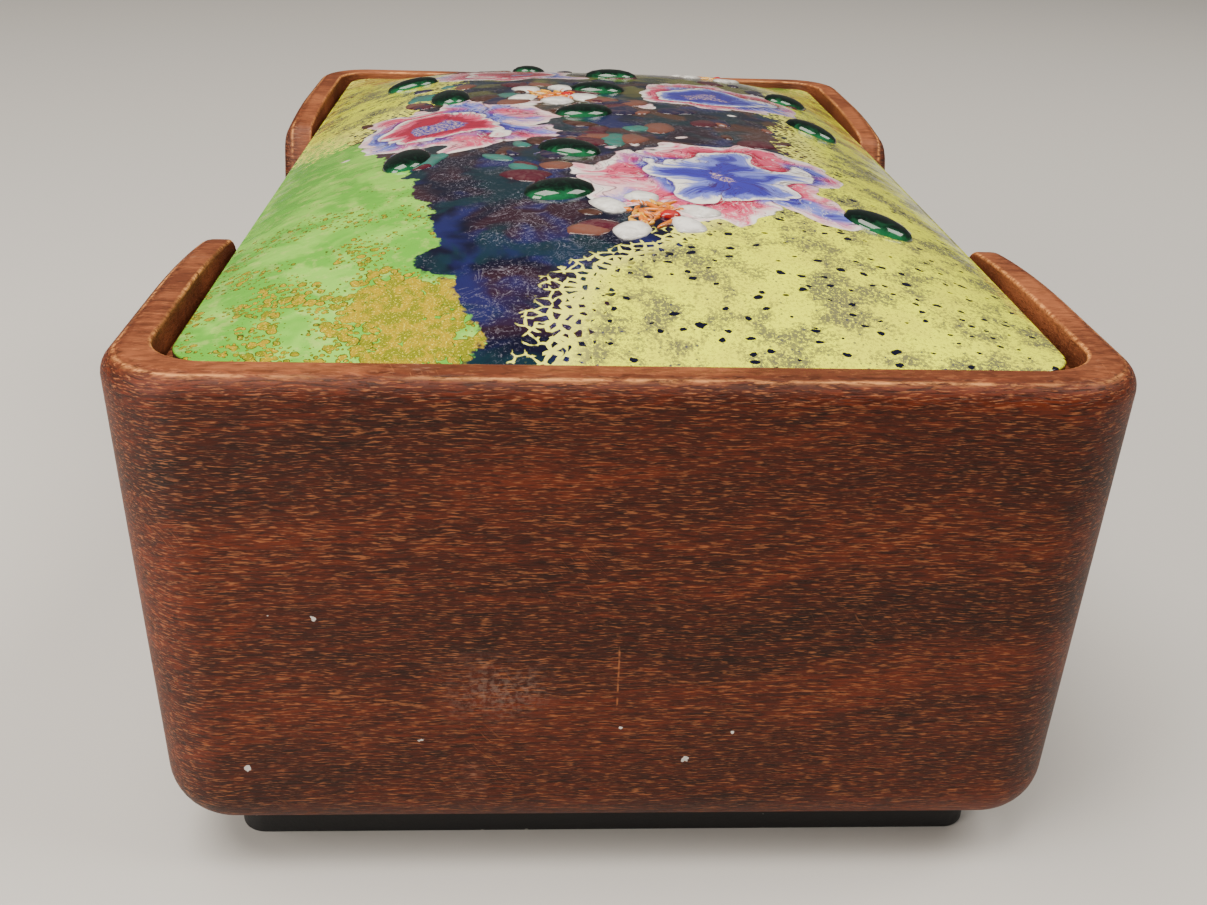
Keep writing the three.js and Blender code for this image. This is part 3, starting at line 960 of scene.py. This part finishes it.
def plinth_material():
    material, g = new_material("matt_black")
    place = g.millimetres()
    rubbed = g.group(smudge, {"Vector": place, "Spacing": 12.0, "Amount": 0.5})["Mask"]
    dust = g.group(specks, {"Vector": place, "Spacing": 3.0, "Size": 0.3, "Amount": 0.3})["Mask"]
    color = g.mix(g.times(rubbed, 0.5), MATT_BLACK, RUBBED_BLACK)
    color = g.mix(g.times(dust, 0.4), color, DUST)
    finish_material(g, {
        "Base Color": color,
        "Roughness": g.plus(0.62, g.times(rubbed, 0.2)),
        "Normal": g.bump(g.noise(place, 2.5, 3.0), 0.3, 0.2 * MM),
    })
    return material


plinth.data.materials.append(plinth_material())

# %% [markdown]
# ## Fired enamel
#
# Enamel is powdered glass. Where one colour was sifted over another and fired, the upper one
# draws back into cells and leaves a lace at its border, and bubbles burst into small pits. The
# material is built in that order: the ground clouds, their laces, the pits, then the blooms.

# %% Ground colours of the enamel
LEAF_GREEN = srgb(100, 176, 48)
PALE_GREEN = srgb(140, 204, 70)
HAZE_GREEN = srgb(204, 212, 116)
MOSS = srgb(56, 52, 18)
OCHRE = srgb(168, 144, 12)
OLIVE_GOLD = srgb(120, 124, 18)
GOLD_LIGHT = srgb(255, 240, 96)
NAVY = srgb(10, 11, 34)
INDIGO = srgb(30, 34, 88)
AUBERGINE = srgb(44, 22, 34)
UMBER = srgb(72, 44, 34)
OLIVE = srgb(112, 112, 50)
TEAL = srgb(14, 44, 52)
WISP = srgb(176, 172, 186)
LEMON = srgb(246, 254, 8)
BUTTER = srgb(236, 240, 40)
CREAM = srgb(252, 250, 104)
LAVENDER = srgb(80, 76, 82)
PLATE_EDGE = srgb(58, 44, 34)


def hairs(g, value, width):
    """1 along the line where a noise passes through its middle."""
    away = g.math("ABSOLUTE", g.minus(value, 0.5))
    return g.ramp(away, width, 0.0)


def holes(g, place, cell, size):
    """1 inside round holes, about one for every cell millimetres; size is their share of it."""
    warped = g.bend(place, 0.7, (0.6, 0.6, 0.0), 2.0)
    spots = g.cells(warped, 1 / cell)
    chance = g.add("ShaderNodeSeparateColor", {0: spots.outputs["Color"]}).outputs[0]
    reach = g.times(size, g.plus(0.55, g.times(chance, 0.9)))
    return g.ramp(g.minus(reach, spots.outputs["Distance"]), 0.0, 0.17)


def dark_cloud(g, place):
    """Navy enamel that turns to aubergine, brown and olive farther back, with whitish grains."""
    along = g.axis(place, "Y")
    drift = g.noise(place, 0.055, 3.0, 0.55, 0.4)
    color = g.mix(g.ramp(drift, 0.46, 0.62), NAVY, AUBERGINE)
    blue = g.noise(g.shifted(place, 5, 70), 0.09, 3.0, 0.5, 0.3)
    color = g.mix(g.times(g.ramp(blue, 0.48, 0.66), 0.85), color, INDIGO)
    brown = g.noise(g.shifted(place, 40, 13), 0.08, 3.0, 0.5, 0.5)
    back = g.ramp(along, -55.0, 0.0)
    color = g.mix(g.times(g.ramp(brown, 0.48, 0.56), back), color, UMBER)
    olive = g.noise(g.shifted(place, 90, 33), 0.06, 3.0, 0.5, 0.6)
    far = g.ramp(along, -5.0, 50.0)
    color = g.mix(g.times(g.ramp(olive, 0.44, 0.54), far), color, OLIVE)
    teal = g.noise(g.shifted(place, 120, 5), 0.11, 3.0, 0.5, 0.4)
    color = g.mix(g.times(g.ramp(teal, 0.50, 0.64), 0.75), color, TEAL)
    grains = g.ramp(g.noise(place, 2.0, 4.0, 0.8), 0.56, 0.66)
    cloud = g.ramp(g.noise(place, 0.12, 3.0), 0.40, 0.66)
    color = g.mix(g.times(g.times(grains, cloud), 0.4), color, WISP)
    wisps = hairs(g, g.noise(place, 0.26, 5.0, 0.7, 0.8), 0.012)
    return g.mix(g.times(g.times(wisps, g.ramp(drift, 0.44, 0.56)), 0.3), color, WISP)


def yellow_cloud(g, place):
    """Lemon enamel with lavender speckle in drifts and sparse navy ovals."""
    drift = g.noise(place, 0.12, 4.0, 0.6)
    color = g.mix(g.ramp(drift, 0.42, 0.60), LEMON, BUTTER)
    thick = g.ramp(g.noise(place, 0.13, 5.0, 0.68), 0.40, 0.62)
    fine = g.noise(place, 2.0, 4.0, 0.8)
    grains = g.ramp(g.plus(fine, g.times(thick, 0.13)), 0.52, 0.58)
    color = g.mix(g.times(grains, g.plus(0.36, g.times(thick, 0.52))), color, LAVENDER)
    ovals = g.group(flat_specks, {
        "Vector": g.scaled(g.bend(place, 0.3, (1.2, 1.2, 0.0)), 0.8, 1.1, 1.0),
        "Spacing": 2.2,
        "Size": 0.36,
        "Amount": 0.46,
        "Ragged": 0.35,
    })
    dots = g.group(flat_specks, {
        "Vector": place,
        "Spacing": 1.1,
        "Size": 0.12,
        "Amount": 0.4,
        "Ragged": 0.2,
    })
    color = g.mix(g.times(dots["Mask"], 0.7), color, INDIGO)
    return g.mix(ovals["Mask"], color, NAVY)


def green_cloud(g, place, gold_share):
    """Leaf green with haze, pits that show ochre, and a patch of gold glitter."""
    drift = g.noise(place, 0.10, 3.0, 0.6, 0.4)
    color = g.mix(g.ramp(drift, 0.42, 0.62), LEAF_GREEN, PALE_GREEN)
    haze = g.noise(g.shifted(place, 9, 50), 0.35, 4.0, 0.65)
    color = g.mix(g.times(g.ramp(haze, 0.5, 0.7), 0.34), color, HAZE_GREEN)
    near = g.ramp(g.axis(place, "Y"), -15.0, -80.0)
    cloud = g.ramp(g.noise(g.shifted(place, 70, 20), 0.12, 3.0), 0.36, 0.60)
    pitted = g.times(g.times(near, cloud), 0.44)
    amount = g.plus(pitted, g.times(gold_share, 0.8))
    wide = holes(g, place, 1.7, amount)
    small = holes(g, g.shifted(place, 31, 17), 0.9, g.times(amount, 0.85))
    pits = g.math("MAXIMUM", wide, small)
    color = g.mix(g.ramp(pits, 0.0, 0.5), color, MOSS)
    mottled = g.mix(g.ramp(g.noise(place, 0.45, 4.0, 0.7), 0.42, 0.58), OLIVE_GOLD, OCHRE)
    color = g.mix(g.ramp(pits, 0.55, 1.0), color, mottled)
    sparkle = g.ramp(g.noise(place, 3.4, 3.0, 0.8), 0.56, 0.68)
    lit = g.times(sparkle, g.ramp(pits, 0.8, 1.0))
    return g.mix(g.times(lit, 0.7), color, GOLD_LIGHT)


# %% [markdown]
# The lace is a net of Voronoi cells. Inside a cloud the walls of the net fill all, and outwards
# they grow thinner until they end, so its holes open up as they do in the fired enamel. A fine
# net and a broad one lie over each other, and a noise makes the cloud's edge wander.

# %% The lace between two colours
def net(g, place, cell, wall):
    """1 in the gaps of a net of cells; wall is half of the walls' thickness as a share of a cell."""
    away = g.edges(g.bend(place, 0.5, (0.7, 0.7, 0.0), 1.0), 1 / cell)
    return g.ramp(g.minus(away, wall), 0.0, 0.06)


def lace(g, place, distance, cell, reach, wander):
    """1 inside a cloud, 0 outside, and between them a net that opens up over reach millimetres."""
    drift = g.swing(wander, place, 0.11, 3.0, 0.6)
    uneven = g.swing(0.5 * reach, place, 0.35, 2.0, 0.6)
    edge = g.plus(g.plus(distance, drift), uneven)
    outward = g.times(g.minus(0.3 * reach, edge), 1 / (1.3 * reach))
    fine = net(g, place, cell, g.minus(0.52, g.times(outward, 0.49)))
    broad_wall = g.minus(0.74, g.times(outward, 0.56))
    broad = net(g, g.shifted(place, 30, 9), 2 * cell, broad_wall)
    gaps = g.math("MAXIMUM", fine, broad)
    return g.times(g.minus(1.0, gaps), g.ramp(outward, 1.0, 0.93))


# %% [markdown]
# ## Painted blooms
#
# Each bloom is painted with the same few strokes: an outer ring of broad petals, an inner ring
# of smaller ones, dark veins that run out from the middle, a white line where the colour has
# drawn back from the edge, and a grey speckled middle. Their maps turn each stroke to the bloom's
# own centre, and the noise that bends the map keeps two blooms from looking alike.

# %% Bloom strokes
CRIMSON = srgb(168, 18, 56)
ROSE = srgb(224, 84, 118)
BLUSH = srgb(246, 200, 204)
VIOLET = srgb(58, 52, 160)
SKY = srgb(118, 128, 216)
MILK = srgb(250, 246, 238)
VEIN = srgb(62, 14, 46)
ASH = srgb(120, 118, 124)


def petal_color(g, depth, streaks, deep, middle, pale):
    """White at the petal's edge, then pale, then deep towards its root, drawn out in streaks."""
    tone = g.plus(depth, g.times(g.minus(streaks, 0.5), 1.1))
    color = g.mix(g.ramp(tone, -0.06, 0.10), MILK, pale)
    color = g.mix(g.ramp(tone, 0.06, 0.30), color, middle)
    return g.mix(g.ramp(tone, 0.34, 0.66), color, deep)


def bloom_layers(g, place, ground):
    """Paints the blooms over the ground colour, and returns the colour and the blooms' mask."""
    bent = g.bend(place, 0.09, (1.05, 1.05, 0.0), 2.0, 0.36)
    near = g.vector("ADD", g.attribute("bloom_map", "Vector"), g.vector("SUBTRACT", bent, place))
    split = g.add("ShaderNodeSeparateXYZ", {0: near}).outputs
    kind = g.math("GREATER_THAN", split["Z"], 0.5)
    flat = g.scaled(near, 1, 1, 0)
    reach = g.length(flat)
    angle = g.math("ARCTAN2", split["Y"], split["X"])
    sway = g.times(g.noise(place, 0.1, 2.0), 2.0)
    ray = g.vector("NORMALIZE", flat)
    ray = g.add("ShaderNodeCombineXYZ", {
        0: g.axis(ray, "X"),
        1: g.axis(ray, "Y"),
        2: g.times(reach, 0.7),
    }).outputs[0]
    g.dimensions = "3D"
    streaks = g.noise(ray, 3.4, 4.0, 0.6, 1.6)
    vein = hairs(g, g.noise(ray, 4.0, 3.0, 0.55, 0.9), 0.016)
    g.dimensions = "2D"
    foam = hairs(g, g.noise(place, 0.16, 4.0, 0.6, 1.8), 0.02)

    def petals(count, turn, low, high):
        phase = g.plus(g.times(angle, count / 2), g.plus(sway, turn))
        across = g.math("ABSOLUTE", g.math("COSINE", phase))
        rounded = g.math("POWER", across, 0.55)
        return g.plus(low, g.times(rounded, high - low)), g.ramp(across, 0.12, 0.0)

    outer, outer_gap = petals(6, 0.4, 0.89, 1.06)
    inner, inner_gap = petals(5, 1.7, 0.51, 0.66)
    outer_depth = g.minus(outer, reach)
    inner_depth = g.minus(inner, reach)
    pink = petal_color(g, g.times(outer_depth, 1.5), streaks, CRIMSON, ROSE, BLUSH)
    blue = petal_color(g, g.times(outer_depth, 1.5), streaks, VIOLET, SKY, BLUSH)
    outer_color = g.mix(g.ramp(g.noise(place, 0.07, 2.0), 0.44, 0.58), pink, blue)
    pink_in = petal_color(g, g.times(inner_depth, 2.2), streaks, CRIMSON, ROSE, MILK)
    blue_in = petal_color(g, g.times(inner_depth, 2.2), streaks, VIOLET, SKY, MILK)
    inner_color = g.mix(kind, blue_in, pink_in)
    near_bloom = g.ramp(g.attribute("bloom_reach"), 1.5, 1.4)
    outer_mask = g.times(g.ramp(outer_depth, 0.0, 0.02), near_bloom)
    inner_mask = g.ramp(inner_depth, 0.0, 0.02)
    vein_share = g.times(vein, 0.75)
    outer_color = g.mix(g.times(foam, 0.6), outer_color, MILK)
    outer_color = g.mix(g.times(outer_gap, 0.7), outer_color, VEIN)
    inner_color = g.mix(g.times(inner_gap, 0.6), inner_color, VEIN)
    color = g.mix(outer_mask, ground, g.mix(vein_share, outer_color, VEIN))
    rim_line = g.times(g.ramp(inner_depth, -0.05, 0.0), 0.35)
    color = g.mix(g.times(rim_line, outer_mask), color, VEIN)
    color = g.mix(g.times(inner_mask, outer_mask), color, g.mix(vein_share, inner_color, VEIN))
    middle = g.ramp(g.plus(reach, g.times(g.noise(place, 0.8, 2.0), 0.1)), 0.24, 0.19)
    grains = g.ramp(g.noise(place, 1.6, 3.0, 0.8), 0.46, 0.58)
    middle_color = g.mix(grains, VIOLET, g.mix(g.noise(place, 1.1), ASH, BLUSH))
    color = g.mix(middle, color, middle_color)
    return color, outer_mask


# %% [markdown]
# The enamel's material lays the masks in the order of firing: the dark ground, the green, the
# yellow with its lace, then the blooms. Yellow and blooms lie a little higher than the ground,
# so their masks raise the surface as well.

# %% Enamel material
def enamel_material():
    material, g = new_material("fired_enamel")
    g.dimensions = "2D"
    place = g.millimetres()
    yellow_edge = g.attribute("yellow")
    green_edge = g.attribute("green")
    gold_edge = g.attribute("gold")
    gold = g.ramp(g.plus(gold_edge, g.times(g.noise(place, 0.3, 3.0), 4.0)), 0.0, 9.0)
    ground = dark_cloud(g, place)
    drift = g.swing(9.0, place, 0.14, 4.0, 0.62)
    green_mask = g.ramp(g.plus(g.math("MAXIMUM", green_edge, gold_edge), drift), 0.0, 0.6)
    ground = g.mix(green_mask, ground, green_cloud(g, place, gold))
    yellow_mask = lace(g, place, yellow_edge, 1.5, 10.0, 9.0)
    paled = g.times(g.ramp(yellow_edge, 0.0, -6.0), 0.8)
    ground = g.mix(yellow_mask, ground, g.mix(paled, yellow_cloud(g, place), CREAM))
    color, bloom_mask = bloom_layers(g, place, ground)
    color = g.mix(g.ramp(g.attribute("side"), 0.5, 1.0), color, PLATE_EDGE)
    relief = g.noise(place, 0.22, 3.0, 0.5)
    relief = g.plus(relief, g.times(bloom_mask, 0.25))
    relief = g.plus(relief, g.times(yellow_mask, 0.12))
    rough = g.plus(0.11, g.times(g.ramp(g.noise(place, 0.4, 4.0), 0.5, 0.8), 0.12))
    finish_material(g, {
        "Base Color": color,
        "Roughness": rough,
        "IOR": 1.5,
        "Coat Weight": 0.3,
        "Coat Roughness": 0.04,
        "Normal": g.bump(relief, 0.35, 0.6 * MM),
    })
    return material


plate.data.materials.append(enamel_material())

# %% [markdown]
# ## Glass drops and raised dabs
#
# Leaf-shaped drops of dark green glass are fused on round each bloom. Small raised dabs of
# thick enamel make the little flowers: white petals round an orange middle. One lens with
# a few dozen faces is enough for all of them, so Geometry Nodes place it at points that carry
# a size, a turn, the plate's slope and a colour.

# %% Lens on points
LENS_SIDES = 14
LENS_RINGS = 4
DROP_LENGTH = 10.5 * MM
DROP_WIDTH = 7.2 * MM
DROP_HEIGHT = 1.5 * MM
DROP_GAP = 0.5 * MM
WOBBLE_SCALE = 330.0


def lens_object():
    """A low dome of unit radius and height, with a short skirt that sinks into the plate."""
    rows = [(1.0, -1.0), (1.0, 0.0)]
    for step in range(1, LENS_RINGS):
        angle = math.pi / 2 * step / LENS_RINGS
        rows.append((math.cos(angle), math.sin(angle)))
    vertices = []
    for radius, z in rows:
        for side in range(LENS_SIDES):
            angle = 2 * math.pi * side / LENS_SIDES
            vertices.append((radius * math.cos(angle), radius * math.sin(angle), z))
    vertices += [(0, 0, -1), (0, 0, 1)]
    mesh = bpy.data.meshes.new("lens")
    mesh.from_pydata(vertices, [], closed_faces(LENS_SIDES, len(rows)))
    add_values(mesh, "lens_reach", [math.hypot(x, y) for x, y, _ in vertices])
    return bpy.data.objects.new("lens", mesh)


def lens_tree():
    """Puts the lens on each point, with the point's size, slope and turn."""
    g, given, out = new_group(
        "Lens on points",
        [
            ("Geometry", "NodeSocketGeometry", None),
            ("Lens", "NodeSocketObject", None),
            ("Material", "NodeSocketMaterial", None),
            ("Wobble", FLOAT, None),
        ],
        [("Geometry", "NodeSocketGeometry")],
        "GeometryNodeTree",
    )
    lens = g.add("GeometryNodeObjectInfo", {"Object": given["Lens"]}).outputs["Geometry"]

    def named(name):
        inputs = {"Name": name}
        return g.add("GeometryNodeInputNamedAttribute", inputs, data_type="FLOAT_VECTOR").outputs[0]

    placed = g.add("GeometryNodeInstanceOnPoints", {
        "Points": given["Geometry"],
        "Instance": lens,
        "Rotation": named("turn"),
        "Scale": named("size"),
    }).outputs[0]
    real = g.add("GeometryNodeRealizeInstances", {"Geometry": placed}).outputs[0]
    place = g.add("GeometryNodeInputPosition").outputs[0]
    inputs = {"Vector": place, "Scale": WOBBLE_SCALE, "Detail": 1.0}
    bend = g.add("ShaderNodeTexNoise", inputs).outputs["Color"]
    bend = g.vector("MULTIPLY", g.vector("SUBTRACT", bend, (0.5, 0.5, 0.5)), (1.0, 1.0, 0.0))
    inputs = {0: bend, "Scale": given["Wobble"]}
    bend = g.add("ShaderNodeVectorMath", inputs, operation="SCALE").outputs[0]
    moved = g.add("GeometryNodeSetPosition", {"Geometry": real, "Offset": bend}).outputs[0]
    smooth = g.add("GeometryNodeSetShadeSmooth", {"Geometry": moved}).outputs[0]
    inputs = {"Geometry": smooth, "Material": given["Material"]}
    dressed = g.add("GeometryNodeSetMaterial", inputs).outputs[0]
    g.give(dressed, out["Geometry"])
    return g.tree


def surface_turn(x, y, angle, reach):
    """Place on the dome, and the turn of something that lies along an angle there."""
    slope_x = (dome(x + reach, y) - dome(x - reach, y)) / (2 * reach)
    slope_y = (dome(x, y + reach) - dome(x, y - reach)) / (2 * reach)
    normal = Vector((-slope_x, -slope_y, 1)).normalized()
    tilt = Vector((0, 0, 1)).rotation_difference(normal)
    spin = Matrix.Rotation(angle, 3, "Z").to_quaternion()
    place = Vector((x, y, BOARD_TOP_Z + PLATE_THICKNESS + float(dome(x, y))))
    return place, (tilt @ spin).to_euler()


def lens_piece(name, spots, material, wobble):
    """One mesh piece of lenses. Each spot is x, y, angle, length, width, height and colour."""
    places, turns, sizes, tints = [], [], [], []
    for x, y, angle, length, width, height, tint in spots:
        place, turn = surface_turn(x, y, angle, width / 2)
        places.append(place)
        turns.append(turn[:])
        sizes.append((length / 2, width / 2, height))
        tints.append(tint[:3])
    mesh = bpy.data.meshes.new(name + "_points")
    mesh.from_pydata(places, [], [])
    for title, rows in (("turn", turns), ("size", sizes), ("tint", tints)):
        add_values(mesh, title, rows)
    points = new_object(name + "_points", mesh)
    modifier = points.modifiers.new("lenses", "NODES")
    modifier.node_group = lens_on_points
    values = {"Lens": lens, "Material": material, "Wobble": wobble}
    for item in lens_on_points.interface.items_tree:
        if item.in_out == "INPUT" and item.name in values:
            modifier[item.identifier] = values[item.name]
    depsgraph = bpy.context.evaluated_depsgraph_get()
    finished = bpy.data.meshes.new_from_object(points.evaluated_get(depsgraph))
    finished.name = name
    bpy.data.objects.remove(points)
    print(f"{name}: {len(spots)} lenses, {len(finished.polygons)} faces")
    return new_object(name, finished)


lens = lens_object()
lens_on_points = lens_tree()

# %% [markdown]
# The glass looks opaque, because it lies over a dark ground: nearly black from most sides, and
# green on the near side, where a glow of gathered light is painted in by the way the surface
# faces. The dabs take their colour from their own points.

# %% Glass and dab materials
GLASS_DARK = srgb(5, 18, 14)
GLASS_LIT = srgb(34, 112, 68)
GLASS_VEIL = srgb(22, 62, 44)
DAB_CLOUD = srgb(120, 96, 92)
DAB_EDGE = srgb(40, 26, 30)


def glass_material():
    """Deep green glass over a dark ground, with a painted glow low on the near side, where the
    surface faces the front.
    """
    material, g = new_material("green_glass")
    place = g.millimetres()
    slope = g.add("ShaderNodeTexCoord").outputs["Normal"]
    # This paints the glow: green where the surface faces the front, as light gathered in the glass.
    near = g.times(g.axis(slope, "Y"), -1.0)
    tone = g.plus(near, g.swing(0.9, place, 0.4, 3.0, 0.6, 1.5))
    color = g.mix(g.ramp(tone, 0.3, 1.1), GLASS_DARK, GLASS_LIT)
    veil = hairs(g, g.noise(place, 0.3, 3.0, 0.6, 2.0), 0.03)
    color = g.mix(g.times(veil, 0.35), color, GLASS_VEIL)
    finish_material(g, {
        "Base Color": color,
        "Roughness": 0.04,
        "IOR": 1.52,
        "Coat Weight": 0.25,
        "Coat Roughness": 0.02,
    })
    return material


def dab_material():
    """Thick opaque enamel in the colour of its own point."""
    material, g = new_material("raised_enamel")
    place = g.millimetres()
    tint = g.attribute("tint", "Color")
    edge = g.ramp(g.attribute("lens_reach"), 0.55, 1.0)
    cloud = g.ramp(g.noise(place, 0.5, 4.0, 0.6, 1.2), 0.40, 0.64)
    color = g.mix(g.times(cloud, 0.28), tint, DAB_CLOUD)
    color = g.mix(g.times(edge, 0.35), color, DAB_EDGE)
    finish_material(g, {
        "Base Color": color,
        "Roughness": 0.12,
        "Coat Weight": 0.3,
        "Coat Roughness": 0.05,
    })
    return material


# %% [markdown]
# The drops lie round the blooms, where the CAD model has them too. The dabs are thinner than a
# millimetre, so they are made here only. Their places come from a random generator with a fixed
# seed, so each run draws the same ones, and only those on the dark ground are kept.

# %% Drops and dabs
DROP_TINT = srgb(20, 90, 50)
LITTLE_FLOWERS = [(5, -52, 1.0, 0.3), (-8, 20, 1.1, 1.1), (26, 64, 0.9, 0.2)]
WHITE = srgb(246, 244, 236)
ORANGE = srgb(226, 122, 14)
AMBER = srgb(244, 178, 40)
RED = srgb(190, 20, 16)
OVAL_COLORS = [
    srgb(48, 118, 108),
    srgb(78, 22, 38),
    srgb(66, 38, 28),
    srgb(28, 28, 62),
    srgb(120, 74, 60),
]

SEED = 11
PETALS = 5
PETAL_REACH = 6.2 * MM
PETAL_HEIGHT = 0.5 * MM
STAMENS = 34
STAMEN_REACH = 4.6 * MM
STAMEN_WIDTH = 0.8 * MM
STAMEN_HEIGHT = 0.35 * MM
ORANGE_SHARE = 0.6
RED_DOT_ASIDE = 2.6 * MM
RED_DOT_NEARER = 0.8 * MM
RED_DOT_TURN = 0.4
RED_DOT_LENGTH = 2.8 * MM
RED_DOT_WIDTH = 2.3 * MM
RED_DOT_HEIGHT = 0.7 * MM
OVALS = 150
OVAL_HEIGHT = 0.25 * MM
DAB_WOBBLE = 2.2 * MM
EDGE_MARGIN = 6 * MM
CLOUD_MARGIN = -2


def around(cx, cy, reach, angle):
    """The point at a distance and an angle from a centre."""
    return cx + reach * math.cos(angle), cy + reach * math.sin(angle)


def leaf_spots():
    """Three drops round each bloom, each one pointing away from it."""
    spots = []
    for bloom in BLOOMS:
        (cx, cy), radius = bloom_place(bloom)
        reach = radius + DROP_GAP + DROP_LENGTH / 2
        for degrees in bloom["leaves"]:
            angle = math.radians(degrees)
            x, y = around(cx, cy, reach, angle)
            spots.append((x, y, angle, DROP_LENGTH, DROP_WIDTH, DROP_HEIGHT, DROP_TINT))
    return spots


def little_flower(draw, cx, cy, grown, turn):
    """Five white dabs round a tangle of orange stamens and one red dot."""
    spots = []
    for petal in range(PETALS):
        angle = turn + petal * 2 * math.pi / PETALS + draw.uniform(-0.25, 0.25)
        reach = PETAL_REACH * grown * draw.uniform(0.9, 1.15)
        x, y = around(cx, cy, reach, angle)
        length = draw.uniform(5.0, 6.6) * grown * MM
        width = draw.uniform(3.8, 5.0) * grown * MM
        turned = angle + draw.uniform(-0.8, 0.8)
        spots.append((x, y, turned, length, width, PETAL_HEIGHT, WHITE))
    for _ in range(STAMENS):
        angle = draw.uniform(0, 2 * math.pi)
        reach = STAMEN_REACH * grown * math.sqrt(draw.uniform(0, 1))
        x, y = around(cx, cy, reach, angle)
        tint = ORANGE if draw.uniform() < ORANGE_SHARE else AMBER
        length = draw.uniform(1.8, 4.0) * MM
        turned = draw.uniform(0, math.pi)
        spots.append((x, y, turned, length, STAMEN_WIDTH, STAMEN_HEIGHT, tint))
    x = cx + RED_DOT_ASIDE * grown
    y = cy - RED_DOT_NEARER * grown
    spots.append((x, y, RED_DOT_TURN, RED_DOT_LENGTH, RED_DOT_WIDTH, RED_DOT_HEIGHT, RED))
    return spots


def dab_spots():
    """The little flowers, and ovals strewn round the blooms."""
    spots = []
    draw = np.random.default_rng(SEED)
    for cx, cy, grown, turn in LITTLE_FLOWERS:
        spots += little_flower(draw, cx * MM, cy * MM, grown, turn)
    for _ in range(OVALS):
        bloom = BLOOMS[draw.integers(len(BLOOMS))]
        (bx, by), radius = bloom_place(bloom)
        angle = draw.uniform(0, 2 * math.pi)
        reach = radius * draw.uniform(1.1, 1.7)
        x, y = around(bx, by, reach, angle)
        if abs(x) > PLATE_HALF_X - EDGE_MARGIN or abs(y) > PLATE_HALF_Y - EDGE_MARGIN:
            continue
        if max(yellow_distance(x / MM, y / MM), green_distance(x / MM, y / MM)) > CLOUD_MARGIN:
            continue
        length = draw.uniform(2.5, 8.5) * MM
        tint = OVAL_COLORS[draw.integers(len(OVAL_COLORS))]
        width = length * draw.uniform(0.5, 0.75)
        turned = angle + draw.uniform(-0.9, 0.9)
        spots.append((x, y, turned, length, width, OVAL_HEIGHT, tint))
    return spots


drops = lens_piece("glass_drops", leaf_spots(), glass_material(), 0.0)
dabs = lens_piece("raised_dabs", dab_spots(), dab_material(), DAB_WOBBLE)

# %% [markdown]
# ## Riding on the frame
#
# Every piece rides on the one CAD body. The four large pieces stand for the four solids of the
# CAD model, which then aren't shown, and the drops and dabs lie on the plate.

# %% Ride and replace
for piece, node, slot in (
    (body, "box_body", "body_wood"),
    (board, "lid_board", "lid_wood"),
    (plate, "enamel_plate", "enamel"),
    (plinth, "base_plinth", "plinth_black"),
):
    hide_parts(node)
    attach(piece, "root")
for piece in (drops, dabs):
    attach(piece, "root")

# %% [markdown]
# ## Floor and light
#
# The floor is plain and pale. Three soft lights stand on the camera's side of the box: a broad
# warm lamp above, a near one low on the left, which lights the front from that side as in the
# photograph, and a fill on the right that reaches down the walls of the opening. None stands low
# behind the box, because its image would lie on the glossy dome.

# %% Floor and lights
FLOOR_HALF = 4.0
FLOOR_GREY = srgb(196, 193, 188)
WARM_WHITE = (1.0, 0.94, 0.86)
PALE_WHITE = (1.0, 0.95, 0.88)
ROOM_COLOR = (0.86, 0.83, 0.78, 1.0)
ROOM_STRENGTH = 0.13


def floor_piece():
    side = FLOOR_HALF
    corners = [(-side, -side, 0), (side, -side, 0), (side, side, 0), (-side, side, 0)]
    mesh = bpy.data.meshes.new("floor")
    mesh.from_pydata(corners, [], [(0, 1, 2, 3)])
    floor = new_object("floor", mesh)
    material, g = new_material("pale_floor")
    finish_material(g, {"Base Color": FLOOR_GREY, "Roughness": 0.75})
    mesh.materials.append(material)


def area_light(name, place, target, side, power, color):
    """A square light at a place that faces a target, with its power in watts."""
    data = bpy.data.lights.new(name, "AREA")
    data.shape = "SQUARE"
    data.size = side
    data.energy = power
    data.color = color
    lamp = new_object(name, data)
    aim = (Vector(target) - Vector(place)).to_track_quat("-Z", "Y")
    lamp.matrix_world = Matrix.Translation(place) @ aim.to_matrix().to_4x4()


floor_piece()
area_light("lamp", (-0.35, -0.25, 1.3), (0, 0, 0.03), 0.9, 25.0, WARM_WHITE)
area_light("window", (-0.36, -0.31, 0.22), (-0.05, -0.09, 0.04), 0.25, 2.3, WARM_WHITE)
area_light("right_fill", (0.85, -0.1, 1.15), (0, 0, 0.05), 0.7, 14.0, PALE_WHITE)

world = bpy.data.worlds.new("room")
world.use_nodes = True
background = world.node_tree.nodes["Background"]
background.inputs["Color"].default_value = ROOM_COLOR
background.inputs["Strength"].default_value = ROOM_STRENGTH
bpy.context.scene.world = world
